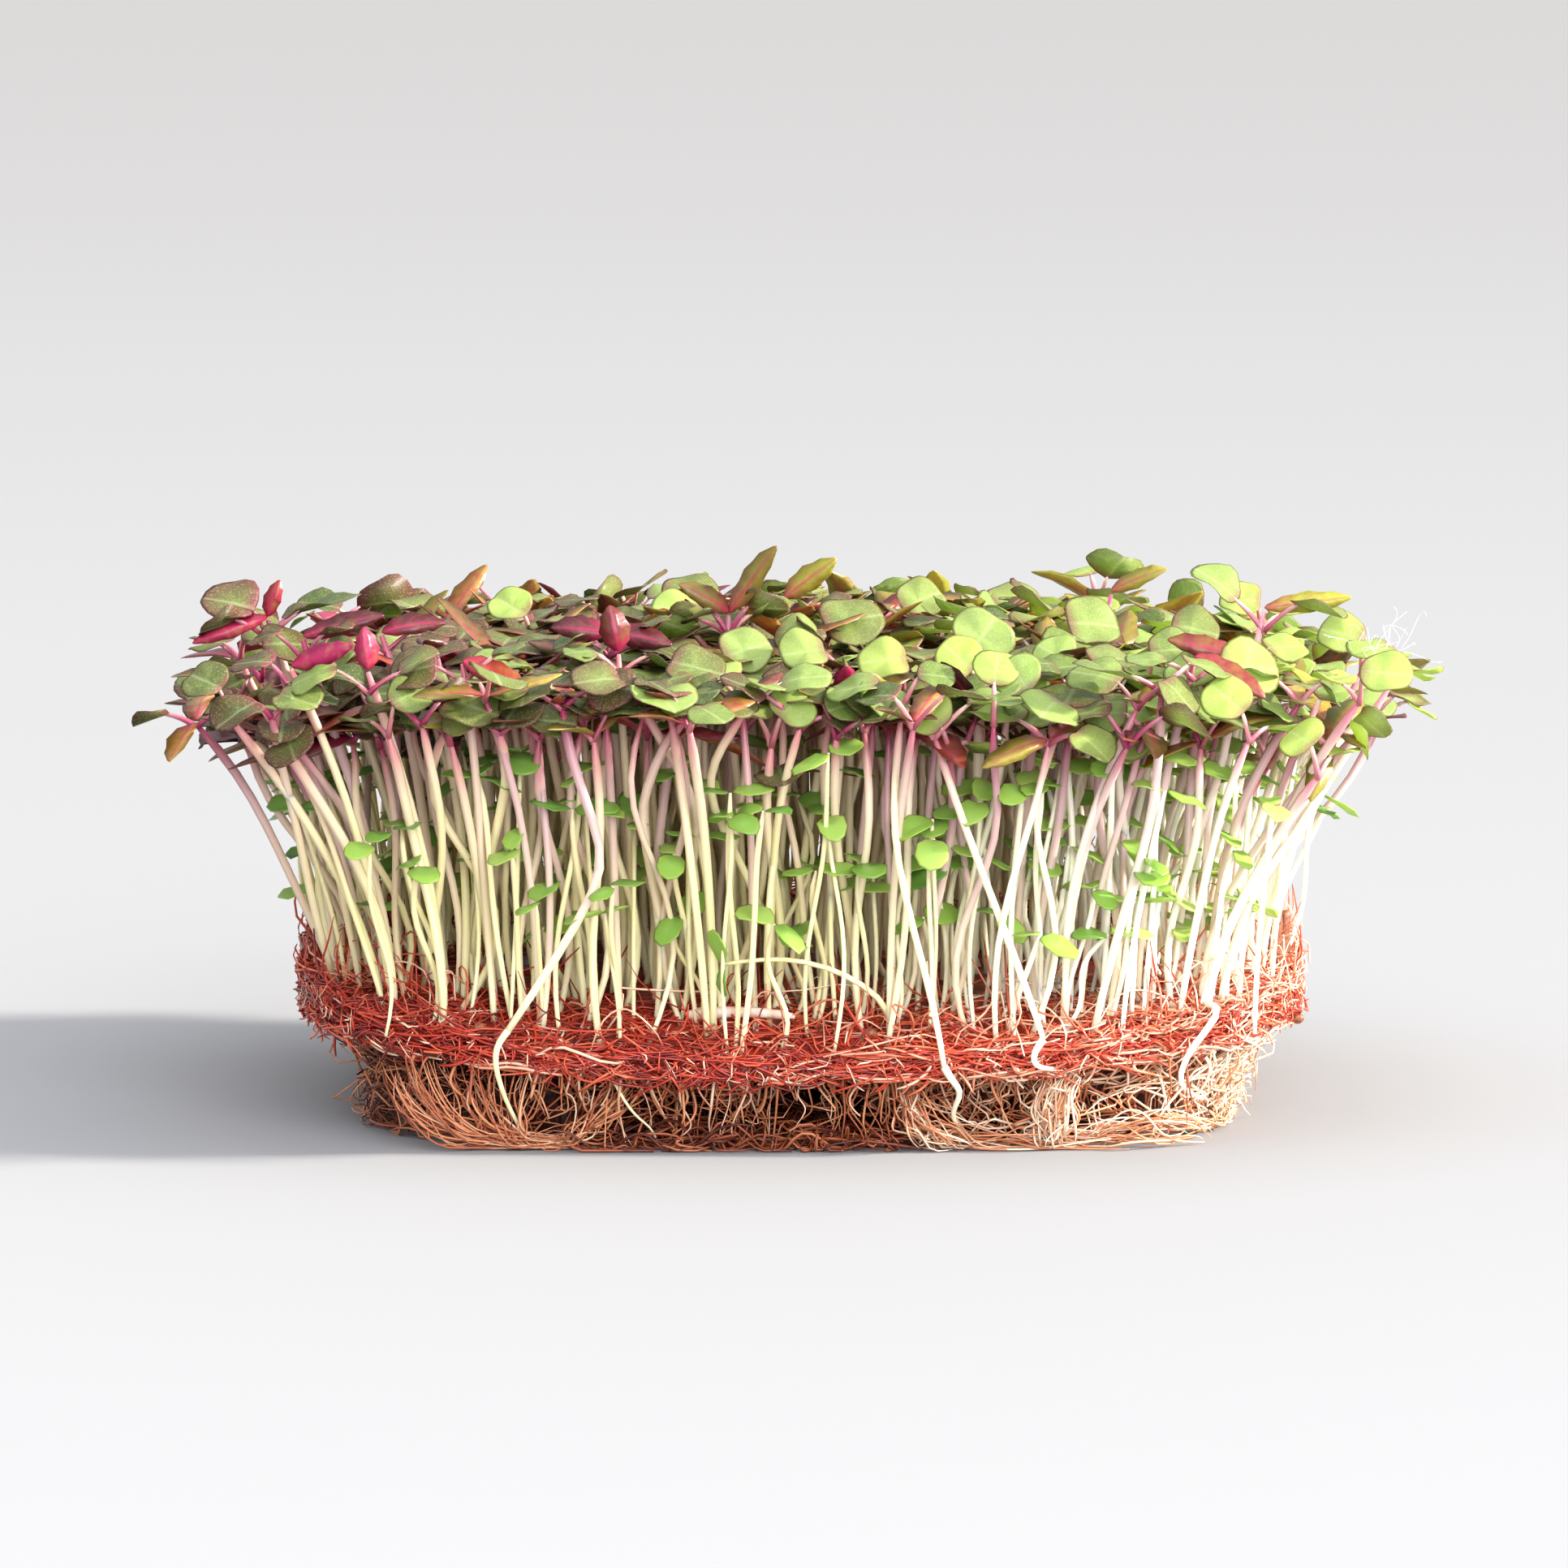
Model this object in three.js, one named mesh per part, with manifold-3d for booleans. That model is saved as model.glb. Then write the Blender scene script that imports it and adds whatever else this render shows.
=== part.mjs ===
// A block of red-leaved herb microgreens on a coir mat, lifted out of the punnet that shaped its roots.
// Millimetres, +Z up. The origin is on the flat underside of the roots, below the middle of the mat.
// +X runs along the front edge and -Y is the front.
import * as THREE from "three";
import { mergeVertices } from "three/addons/utils/BufferGeometryUtils.js";
import Module from "manifold-3d";

const wasm = await Module();
wasm.setup();

// Driving dimensions
const MAT_WIDTH = 118;
const MAT_DEPTH = 110;
const MAT_THICKNESS = 6;
const MAT_UNDERSIDE = 11.5; // height of the mat's underside before it sags or curls
const MAT_SQUARENESS = 3.6; // exponent of the plan's superellipse: 2 is an ellipse, more is squarer
const FRONT_SAG = 3; // droop of the front edge over the gap between the root feet
const RIM_CURL = 0.6; // lift of the two ends, where the mat lay against the punnet's wall
const FRONT_THINNING = 0.55; // share of the thickness that the felt has lost at the front edge

const ROOT_WIDTH = 103;
const ROOT_DEPTH = 98;
const ROOT_SQUARENESS = 5;
const ARCH_LEFT = -26; // the bare arch in the front of the roots, from here
const ARCH_RIGHT = 10; // to here
const ARCH_BACK = -8;
const ARCH_HEIGHT = 5.8;

const STEM_RADIUS = 0.8;
const STEM_HEIGHT = 36; // a usual stem, from the mat's top to its leaves
const COTYLEDON_LENGTH = 7.5;
const COTYLEDON_WIDTH = 9;
const TRUE_LEAF_LENGTH = 10;
const TRUE_LEAF_WIDTH = 4.6;
const PETIOLE_LENGTH = 3;
const PETIOLE_WIDTH = 0.9;
const LEAF_THICKNESS = 0.5;

const EDGE_SPROUTS = 18; // seedlings round the mat's edge, each with a stem and leaves of its own
const EDGE_INSET = 4.5; // from the mat's edge to the feet of those stems
const EDGE_LEAN = 11; // how far their heads hang out past their feet
const EDGE_DROOP = 2.5; // how far their heads hang below the heads inside
const END_DROOP = 4.5; // how much lower the heads at the two ends hang

const STAND_PITCH = 10; // spacing of the seedlings inside that ring
const SEED_LAYER = 0.9; // husks and root collars that knit those stems together on the mat
const TALLEST = { x: -6, y: -28, height: 59.5 }; // one seedling near the front stands above the others

const GAP = 0.3; // air between pieces that rest on each other
const MERGE_TOLERANCE = 1e-3;
const MAT_SECTORS = 40;
const MAT_RINGS = 6;

const TILT_OF_LEAVES = THREE.MathUtils.degToRad(14);
const TILT_OF_TALLEST = THREE.MathUtils.degToRad(42); // its young leaves stand up

// Looks of the real materials, as plain colours
const finish = (name, color, roughness) =>
  new THREE.MeshStandardMaterial({ name, color, roughness, metalness: 0 });
const COIR = finish("coir", 0xa4472a, 0.9);
const ROOT = finish("root", 0xb97d52, 0.7);
const STEM = finish("stem", 0xe3e0bd, 0.45);
const LEAF = finish("leaf", 0x8fae4a, 0.5);
const DRY_STEM = finish("dry_stem", 0xe9d9c8, 0.6);
const HUSK = finish("husk", 0x6b2f1c, 0.55);

// Solids

/** A closed geometry as a manifold solid, with only its positions and its shared vertices merged. */
function solidOf(geometry) {
  const bare = new THREE.BufferGeometry();
  bare.setAttribute("position", geometry.getAttribute("position").clone());
  if (geometry.index) bare.setIndex(geometry.index.clone());
  const merged = mergeVertices(bare, MERGE_TOLERANCE);
  const mesh = new wasm.Mesh({
    numProp: 3,
    vertProperties: merged.getAttribute("position").array,
    triVerts: new Uint32Array(merged.index.array),
  });
  return new wasm.Manifold(mesh);
}

/** A manifold solid back as a geometry. */
function geometryOf(solid) {
  const mesh = solid.getMesh();
  const geometry = new THREE.BufferGeometry();
  geometry.setAttribute("position", new THREE.BufferAttribute(mesh.vertProperties, 3));
  geometry.setIndex(new THREE.BufferAttribute(mesh.triVerts, 1));
  geometry.computeVertexNormals();
  return geometry;
}

/** All the geometries joined into one solid. */
function joined(geometries) {
  return geometries.map(solidOf).reduce((whole, piece) => whole.add(piece));
}

/** The same draw every time: a number from -1 to 1 that depends only on its two keys. */
function jitter(index, channel) {
  return 2 * THREE.MathUtils.seededRandom(7919 * channel + 104729 * index + 17) - 1;
}

// The mat's shape

/** A point of a superellipse outline at an angle: each axis is the signed 2/n power of a cosine or sine. */
function outlinePoint(halfX, halfY, squareness, angle) {
  const power = 2 / squareness;
  const signedPower = (value) => Math.sign(value) * Math.abs(value) ** power;
  return new THREE.Vector2(halfX * signedPower(Math.cos(angle)), halfY * signedPower(Math.sin(angle)));
}

/** How far the mat is lifted at a point: the ends curl up and the middle of the front sags. */
function matLift(x, y) {
  const across = x / (MAT_WIDTH / 2);
  const towardsFront = Math.max(0, -y / (MAT_DEPTH / 2));
  return RIM_CURL * across ** 2 - FRONT_SAG * towardsFront ** 2 * Math.max(0, 1 - across ** 2);
}

const matUnderside = (x, y) => MAT_UNDERSIDE + matLift(x, y);

/** The mat's upper face: a thickness above its underside that thins out towards the front edge. */
function matTop(x, y) {
  const across = Math.abs(x / (MAT_WIDTH / 2)) ** MAT_SQUARENESS;
  const along = Math.abs(y / (MAT_DEPTH / 2)) ** MAT_SQUARENESS;
  const towardsRim = (across + along) ** (1 / MAT_SQUARENESS);
  const towardsFront = Math.max(0, -y / (MAT_DEPTH / 2));
  const thinning = FRONT_THINNING * towardsRim ** 6 * towardsFront ** 2;
  return matUnderside(x, y) + MAT_THICKNESS * (1 - thinning);
}

/** A closed slab with a superellipse plan, whose upper and lower surfaces are heights over the plan. */
function slab(halfX, halfY, squareness, upper, lower) {
  const positions = [];
  const triangles = [];
  for (const height of [upper, lower]) {
    positions.push(0, 0, height(0, 0));
    for (let ring = 1; ring <= MAT_RINGS; ring += 1) {
      for (let sector = 0; sector < MAT_SECTORS; sector += 1) {
        const angle = (2 * Math.PI * sector) / MAT_SECTORS;
        const point = outlinePoint(halfX, halfY, squareness, angle).multiplyScalar(ring / MAT_RINGS);
        positions.push(point.x, point.y, height(point.x, point.y));
      }
    }
  }
  const sideSize = 1 + MAT_RINGS * MAT_SECTORS;
  const at = (side, ring, sector) =>
    side * sideSize + 1 + (ring - 1) * MAT_SECTORS + (sector % MAT_SECTORS);
  const addTriangle = (side, a, b, c) => triangles.push(...(side === 0 ? [a, b, c] : [a, c, b]));
  for (let sector = 0; sector < MAT_SECTORS; sector += 1) {
    for (const side of [0, 1]) {
      addTriangle(side, side * sideSize, at(side, 1, sector), at(side, 1, sector + 1));
      for (let ring = 1; ring < MAT_RINGS; ring += 1) {
        const inner = at(side, ring, sector);
        const outer = at(side, ring + 1, sector);
        const outerNext = at(side, ring + 1, sector + 1);
        addTriangle(side, inner, outer, outerNext);
        addTriangle(side, inner, outerNext, at(side, ring, sector + 1));
      }
    }
    const rimLow = at(1, MAT_RINGS, sector);
    const rimLowNext = at(1, MAT_RINGS, sector + 1);
    const rimHighNext = at(0, MAT_RINGS, sector + 1);
    triangles.push(rimLow, rimLowNext, rimHighNext);
    triangles.push(rimLow, rimHighNext, at(0, MAT_RINGS, sector));
  }
  const geometry = new THREE.BufferGeometry();
  geometry.setAttribute("position", new THREE.Float32BufferAttribute(positions, 3));
  geometry.setIndex(triangles);
  geometry.computeVertexNormals();
  return geometry;
}

const block = new THREE.Group();

/** Adds one named piece to a group. */
function addPiece(parent, name, geometry, material) {
  const mesh = new THREE.Mesh(geometry, material);
  mesh.name = name;
  parent.add(mesh);
  return mesh;
}

// Coir mat: one felted pad of coconut fibre
addPiece(block, "coir_mat", slab(MAT_WIDTH / 2, MAT_DEPTH / 2, MAT_SQUARENESS, matTop, matUnderside), COIR);

// Root mass: one tangle under the mat, on the feet that filled the punnet's moat, with a bare arch in front
function rootMass() {
  const upper = (x, y) => matUnderside(x, y) - GAP;
  const whole = slab(ROOT_WIDTH / 2, ROOT_DEPTH / 2, ROOT_SQUARENESS, upper, () => 0);
  const archDepth = ROOT_DEPTH; // more than reaches the front face
  const arch = new THREE.BoxGeometry(ARCH_RIGHT - ARCH_LEFT, archDepth, 2 * ARCH_HEIGHT);
  arch.translate((ARCH_LEFT + ARCH_RIGHT) / 2, ARCH_BACK - archDepth / 2, 0);
  return geometryOf(solidOf(whole).subtract(solidOf(arch)));
}
addPiece(block, "root_mass", rootMass(), ROOT);

// Seedling parts

/** A round stem along a smooth curve, as a tube with a flat end at each side. */
function tube(points, radius, sides, steps) {
  const section = new THREE.Shape();
  for (let side = 0; side < sides; side += 1) {
    const angle = (2 * Math.PI * side) / sides;
    section[side === 0 ? "moveTo" : "lineTo"](radius * Math.cos(angle), radius * Math.sin(angle));
  }
  const extrudePath = new THREE.CatmullRomCurve3(points);
  return new THREE.ExtrudeGeometry(section, { steps, extrudePath, bevelEnabled: false });
}

/** The outline of a leaf along +X: a narrow petiole from the origin, then a blade, widest part of the way. */
function leafOutline(length, width, widestAt) {
  const half = width / 2;
  const blade = PETIOLE_LENGTH;
  const widest = blade + widestAt * length;
  const tip = blade + length;
  const outline = new THREE.Shape();
  outline.moveTo(0, -PETIOLE_WIDTH / 2);
  outline.lineTo(blade, -PETIOLE_WIDTH / 2);
  outline.quadraticCurveTo(blade, -half, widest, -half);
  outline.quadraticCurveTo(tip, -half, tip, 0);
  outline.quadraticCurveTo(tip, half, widest, half);
  outline.quadraticCurveTo(blade, half, blade, PETIOLE_WIDTH / 2);
  outline.lineTo(0, PETIOLE_WIDTH / 2);
  return outline;
}

/** A leaf plate that rises from its petiole by a tilt and points along an azimuth. */
function leafPlate(outline, tilt, azimuth) {
  const plate = new THREE.ExtrudeGeometry(outline, {
    depth: LEAF_THICKNESS,
    bevelEnabled: false,
    curveSegments: 2,
  });
  plate.translate(0, 0, -LEAF_THICKNESS / 2);
  plate.rotateY(-tilt);
  plate.rotateZ(azimuth);
  return plate;
}

const COTYLEDON = leafOutline(COTYLEDON_LENGTH, COTYLEDON_WIDTH, 0.5);
const TRUE_LEAF = leafOutline(TRUE_LEAF_LENGTH, TRUE_LEAF_WIDTH, 0.4);
const BUD_RADIUS = 1.3;

/** The head of a seedling: two seed leaves, two true leaves across them and the bud that joins them. */
function leafHead(index) {
  const quarterTurn = Math.PI / 2;
  const leaves = [0, 1, 2, 3].map((quarter) => {
    const outline = quarter % 2 === 0 ? COTYLEDON : TRUE_LEAF;
    const tilt = TILT_OF_LEAVES * (0.6 + 0.5 * jitter(index, 3 + quarter));
    return leafPlate(outline, tilt, quarter * quarterTurn);
  });
  return geometryOf(joined([new THREE.OctahedronGeometry(BUD_RADIUS, 0), ...leaves]));
}

// Where the leaves spread, and how much higher they stand in the middle
const CANOPY_HEIGHT = MAT_UNDERSIDE + MAT_THICKNESS + STEM_HEIGHT;
const CANOPY_DOME = 3.5;

// Seedlings round the edge of the mat, leaning out over it
const EDGE_LINE = new THREE.Path();
for (let sector = 0; sector <= MAT_SECTORS; sector += 1) {
  const halfX = MAT_WIDTH / 2 - EDGE_INSET;
  const halfY = MAT_DEPTH / 2 - EDGE_INSET;
  const point = outlinePoint(halfX, halfY, MAT_SQUARENESS, (2 * Math.PI * sector) / MAT_SECTORS);
  EDGE_LINE[sector === 0 ? "moveTo" : "lineTo"](point.x, point.y);
}

function addEdgeSprout(foot, index) {
  const outwards = foot.clone().normalize();
  const lean = EDGE_LEAN * (1 + 0.4 * Math.abs(outwards.x) + 0.2 * jitter(index, 1));
  const bottom = matTop(foot.x, foot.y) + 2 * GAP;
  const droop = EDGE_DROOP + END_DROOP * outwards.x ** 4;
  const height = CANOPY_HEIGHT - droop + 3 * jitter(index, 2) - bottom;
  const number = String(index + 1).padStart(2, "0");

  const sprout = new THREE.Group();
  sprout.position.set(foot.x, foot.y, bottom);
  const along = (share, out) => new THREE.Vector3(outwards.x * out, outwards.y * out, share * height);
  const route = [along(0, 0), along(0.35, 0.12 * lean), along(0.7, 0.45 * lean), along(1, lean)];
  addPiece(sprout, `stem_${number}`, tube(route, STEM_RADIUS, 6, 6), STEM);

  const head = addPiece(sprout, `leaf_head_${number}`, leafHead(index), LEAF);
  head.position.copy(along(1, lean)).z += BUD_RADIUS + 2 * GAP;
  head.rotation.z = Math.atan2(outwards.y, outwards.x) + Math.PI / 4 + 0.25 * jitter(index, 7);
  block.add(sprout);
}
EDGE_LINE.getSpacedPoints(EDGE_SPROUTS).slice(1).forEach(addEdgeSprout);

// Inner stand: the crowd of seedlings inside that ring

/** The feet of the inner seedlings: a jittered grid kept inside the ring of edge seedlings. */
function standFeet() {
  const halfX = MAT_WIDTH / 2 - 2.4 * EDGE_INSET;
  const halfY = MAT_DEPTH / 2 - 2.4 * EDGE_INSET;
  const feet = [];
  const reach = Math.ceil(MAT_WIDTH / 2 / STAND_PITCH);
  for (let row = -reach; row <= reach; row += 1) {
    for (let column = -reach; column <= reach; column += 1) {
      const index = 100 + (row + reach) * 40 + column + reach;
      const x = (column + 0.5 * (row % 2) + 0.3 * jitter(index, 1)) * STAND_PITCH;
      const y = (row + 0.3 * jitter(index, 2)) * STAND_PITCH;
      const inside = Math.abs(x / halfX) ** MAT_SQUARENESS + Math.abs(y / halfY) ** MAT_SQUARENESS;
      if (inside < 1) feet.push({ index, x, y });
    }
  }
  return feet;
}
const FEET = standFeet();

/** One of a pair of round seed leaves whose blades spread straight from the stem. */
function roundLeaf(tilt, azimuth) {
  const radius = COTYLEDON_LENGTH / 2;
  const leaf = new THREE.CylinderGeometry(radius, radius, LEAF_THICKNESS, 6);
  leaf.rotateX(Math.PI / 2);
  leaf.translate(radius - STEM_RADIUS / 4, 0, 0);
  leaf.rotateY(-tilt);
  leaf.rotateZ(azimuth);
  return leaf;
}

/** An upright stem between two heights. */
function straightStem(x, y, base, top) {
  const stem = new THREE.CylinderGeometry(STEM_RADIUS, STEM_RADIUS, top - base, 4, 1);
  stem.rotateX(Math.PI / 2);
  stem.translate(x, y, (top + base) / 2);
  return stem;
}

/** The crowd of inner seedlings, each a stem with its leaf pair, rooted in one layer of husks on the mat. */
function innerSprouts() {
  const halfX = MAT_WIDTH / 2 - 2 * EDGE_INSET;
  const halfY = MAT_DEPTH / 2 - 2 * EDGE_INSET;
  const bottom = (x, y) => matTop(x, y) + GAP;
  const layer = slab(halfX, halfY, MAT_SQUARENESS, (x, y) => bottom(x, y) + SEED_LAYER, bottom);
  const sprouts = FEET.flatMap(({ index, x, y }) => {
    const middle = (1 - (x / halfX) ** 2) * (1 - (y / halfY) ** 2);
    const base = bottom(x, y) + SEED_LAYER / 2;
    const top = CANOPY_HEIGHT + CANOPY_DOME * middle + 2.5 * jitter(index, 3);
    const azimuth = Math.PI * jitter(index, 4);
    const pair = [0, Math.PI].map((turn) => roundLeaf(TILT_OF_LEAVES, azimuth + turn));
    pair.forEach((leaf) => leaf.translate(x, y, top - LEAF_THICKNESS));
    return [straightStem(x, y, base, top), ...pair];
  });
  const { x, y, height } = TALLEST;
  const youngPair = [0.4, 0.4 + Math.PI].map((azimuth) => leafPlate(TRUE_LEAF, TILT_OF_TALLEST, azimuth));
  youngPair.forEach((leaf) => leaf.translate(x, y, height - LEAF_THICKNESS));
  const tallest = [straightStem(x, y, bottom(x, y) + SEED_LAYER / 2, height), ...youngPair];
  return geometryOf(joined([layer, ...sprouts, ...tallest]));
}
addPiece(block, "inner_sprouts", innerSprouts(), LEAF);

// Loose pieces on and beside the mat

/** A short dry stem that lies along the front edge of the mat. */
function addDryStem() {
  const length = 12.5;
  const radius = 0.75;
  const stem = new THREE.CylinderGeometry(radius, 0.8 * radius, length, 8);
  stem.rotateZ(Math.PI / 2);
  const place = addPiece(block, "dry_stem", stem, DRY_STEM);
  const x = -7;
  const y = -48.5;
  place.position.set(x, y, matTop(x, y) + radius + 4 * GAP);
  place.rotation.z = -0.08;
}
addDryStem();

/** Strips of husk bark that stand up at the right end of the mat, with their broad side half to the front. */
function addHuskStrip(number, x, y, height) {
  const width = 3;
  const thickness = 0.9;
  const strip = new THREE.CylinderGeometry(0.3 * width, 0.5 * width, height, 6, 2);
  strip.rotateX(Math.PI / 2);
  strip.scale(thickness / width, 1, 1);
  const place = addPiece(block, `husk_strip_${number}`, strip, HUSK);
  place.position.set(x, y, matTop(x, y) + height / 2 + 2 * GAP);
  place.rotation.z = -Math.PI / 4;
}
addHuskStrip(1, 56.4, -19, 7);
addHuskStrip(2, 57.6, -13.5, 5);

/** A seed that never sprouted: one sticks to the rim at the right end, the others lie on the front edge. */
function addSeed(number, x, y, restsAt = matTop(x, y)) {
  const radius = 0.7;
  const seed = addPiece(block, `seed_${number}`, new THREE.IcosahedronGeometry(radius, 1), HUSK);
  seed.position.set(x, y, restsAt + radius + GAP);
}
addSeed(1, 58.2, -30, matUnderside(57, -30));
addSeed(2, 8, -51.5);
addSeed(3, -37, -51);

export default block;
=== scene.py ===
import bpy
import numpy as np
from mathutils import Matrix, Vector


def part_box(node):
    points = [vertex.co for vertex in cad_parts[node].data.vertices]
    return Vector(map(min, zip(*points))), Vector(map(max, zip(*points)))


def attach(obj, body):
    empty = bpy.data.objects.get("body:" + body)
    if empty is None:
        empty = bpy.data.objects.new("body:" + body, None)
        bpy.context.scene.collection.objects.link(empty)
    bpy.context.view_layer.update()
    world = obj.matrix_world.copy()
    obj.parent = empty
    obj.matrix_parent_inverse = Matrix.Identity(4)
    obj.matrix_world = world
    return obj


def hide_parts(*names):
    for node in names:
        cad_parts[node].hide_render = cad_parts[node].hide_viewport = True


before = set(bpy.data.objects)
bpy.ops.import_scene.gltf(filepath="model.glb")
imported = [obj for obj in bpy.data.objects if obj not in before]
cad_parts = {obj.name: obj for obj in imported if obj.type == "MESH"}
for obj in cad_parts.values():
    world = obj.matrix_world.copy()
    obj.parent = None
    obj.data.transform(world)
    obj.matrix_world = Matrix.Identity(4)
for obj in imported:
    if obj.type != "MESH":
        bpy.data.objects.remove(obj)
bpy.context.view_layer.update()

# Coir mat
# A thin pad of coconut fibre, needled into felt, red-brown with tannin and damp from watering.
# The seed is sown on it. It sags between the root feet, lifts at its ends and is worn thin in front.
MM = 0.001  # sizes below are in millimetres and meshes are in metres
chance = np.random.default_rng(52)

mat_low, mat_high = (np.array(corner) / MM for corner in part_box("coir_mat"))
mat_half = (mat_high - mat_low)[:2] / 2
MAT_SQUARENESS = 3.6
MAT_UNDERSIDE = 11.5
MAT_THICKNESS = 6.0
RIM_CURL = 0.6
FRONT_SAG = 3.0
FRONT_THINNING = 0.55


def draw(low, high, count):
    """Random numbers between two limits."""
    return chance.uniform(low, high, count)


def mat_underside(x, y):
    """Height of the mat's underside: level, plus a curl by the square of the way to an end, less a sag
    by the square of the way to the front that fades towards the ends."""
    across = x / mat_half[0]
    to_front = np.clip(-y / mat_half[1], 0, None)
    sag = FRONT_SAG * to_front**2 * np.clip(1 - across**2, 0, None)
    return MAT_UNDERSIDE + RIM_CURL * across**2 - sag


def towards_rim(x, y):
    """How near a spot is to the mat's rim: nought in the middle and one on the rim's superellipse."""
    across = np.abs(x / mat_half[0]) ** MAT_SQUARENESS
    along = np.abs(y / mat_half[1]) ** MAT_SQUARENESS
    return (across + along) ** (1 / MAT_SQUARENESS)


def mat_thickness(x, y):
    """Thickness of the felt: even, less a loss by the sixth power of the way to the rim, in front only."""
    to_front = np.clip(-y / mat_half[1], 0, 1)
    return MAT_THICKNESS * (1 - FRONT_THINNING * np.clip(towards_rim(x, y), 0, 1) ** 6 * to_front**2)


def mat_top(x, y):
    """Height of the mat's upper face: its underside plus its thickness."""
    return mat_underside(x, y) + mat_thickness(x, y)


def outline(half, squareness):
    """A superellipse as a table, anticlockwise from the middle of the front: the distance along it, its
    points (signed powers of a cosine and a sine) and its outward normals."""
    angle = np.linspace(-0.5 * np.pi, 1.5 * np.pi, 1441)
    turn = np.stack([np.cos(angle), np.sin(angle)], axis=1)
    point = np.asarray(half) * np.sign(turn) * np.abs(turn) ** (2 / squareness)
    step = np.linalg.norm(np.diff(point, axis=0), axis=1)
    along = np.concatenate([[0], np.cumsum(step)])
    tangent = np.gradient(point, axis=0)
    normal = np.stack([tangent[:, 1], -tangent[:, 0]], axis=1)
    return along, point, normal / np.linalg.norm(normal, axis=1, keepdims=True)


def at_rim(table, along, inset):
    """Points at distances along an outline and moved in from it by an inset."""
    distance, point, normal = table
    wrapped = np.mod(along, distance[-1])
    spot = np.stack([np.interp(wrapped, distance, point[:, axis]) for axis in (0, 1)], axis=-1)
    out = np.stack([np.interp(wrapped, distance, normal[:, axis]) for axis in (0, 1)], axis=-1)
    return spot - inset[..., None] * out


def unit(vectors):
    """The same vectors with length one."""
    return vectors / np.maximum(np.linalg.norm(vectors, axis=-1, keepdims=True), 1e-9)


def tube_rings(paths, radii, sides, helper=None):
    """Round sections carried along paths: each point of a section is its path's point plus the radius
    times a cosine and a sine along two directions square to the path and to a helper direction."""
    tangent = unit(np.gradient(paths, axis=1))
    if helper is None:
        upright = np.abs(unit(paths[:, -1] - paths[:, 0])[:, 2:3]) > 0.6
        helper = np.where(upright, [[1.0, 0.0, 0.0]], [[0.0, 0.0, 1.0]])[:, None, :]
    side = unit(np.cross(tangent, helper))
    other = np.cross(tangent, side)
    turn = (np.arange(sides) * 2 * np.pi / sides)[:, None]
    spokes = side[:, :, None, :] * np.cos(turn) + other[:, :, None, :] * np.sin(turn)
    return paths[:, :, None, :] + radii[:, :, None, None] * spokes


def loft(name, rings, material, body_slot, **attributes):
    """A piece of closed tubes. rings[n, p, s] is point s of section p of tube n, in millimetres. Quads
    join neighbouring sections, one face closes each end, and attributes give numbers per point."""
    tubes, sections, sides, _ = rings.shape
    index = np.arange(tubes * sections * sides).reshape(tubes, sections, sides)
    turned = np.roll(index, -1, axis=2)
    walls = np.stack([index[:, :-1], turned[:, :-1], turned[:, 1:], index[:, 1:]], axis=-1)
    corners = np.concatenate([walls.ravel(), index[:, 0, ::-1].ravel(), index[:, -1].ravel()])
    quads = walls.size // 4
    starts = np.concatenate([np.arange(quads) * 4, quads * 4 + np.arange(2 * tubes) * sides])
    mesh = bpy.data.meshes.new(name)
    mesh.vertices.add(index.size)
    mesh.vertices.foreach_set("co", (rings * MM).astype(np.float32).ravel())
    mesh.loops.add(len(corners))
    mesh.loops.foreach_set("vertex_index", corners.astype(np.int32))
    mesh.polygons.add(len(starts))
    mesh.polygons.foreach_set("loop_start", starts.astype(np.int32))
    mesh.update(calc_edges=True)
    mesh.shade_smooth()
    for key, values in attributes.items():
        layer = mesh.attributes.new(key, "FLOAT", "POINT")
        layer.data.foreach_set("value", np.broadcast_to(values, index.shape).astype(np.float32).ravel())
    mesh.materials.append(material)
    piece = bpy.data.objects.new(name, mesh)
    bpy.context.scene.collection.objects.link(piece)
    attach(piece, "root")
    return piece


def linear(colour):
    """An sRGB hex colour as the linear colour that a shader reads."""
    level = np.array([int(colour[place : place + 2], 16) for place in (1, 3, 5)]) / 255
    level = np.where(level <= 0.04045, level / 12.92, ((level + 0.055) / 1.055) ** 2.4)
    return (*level, 1.0)


def set_inputs(node, inputs):
    """Gives a node's inputs their values, or links them to outputs of other nodes."""
    for key, value in inputs.items():
        if isinstance(value, bpy.types.NodeSocket):
            node.id_data.links.new(value, node.inputs[key])
        else:
            node.inputs[key].default_value = value


def add_node(tree, kind, inputs, out=0, stops=(), **settings):
    """Adds a node with its settings and inputs and gives one of its outputs. stops are a ramp's colours."""
    made = tree.nodes.new("ShaderNode" + kind)
    for key, value in settings.items():
        setattr(made, key, value)
    set_inputs(made, inputs)
    for place, (position, colour) in enumerate(stops):
        spare = made.color_ramp.elements
        stop = spare[place] if place < 2 else spare.new(position)
        stop.position = position
        stop.color = linear(colour)
    return made.outputs[out]


def new_material(name):
    """An empty material with its node tree and its principled shader."""
    made = bpy.data.materials.new(name)
    made.use_nodes = True
    return made, made.node_tree, made.node_tree.nodes["Principled BSDF"]


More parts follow.
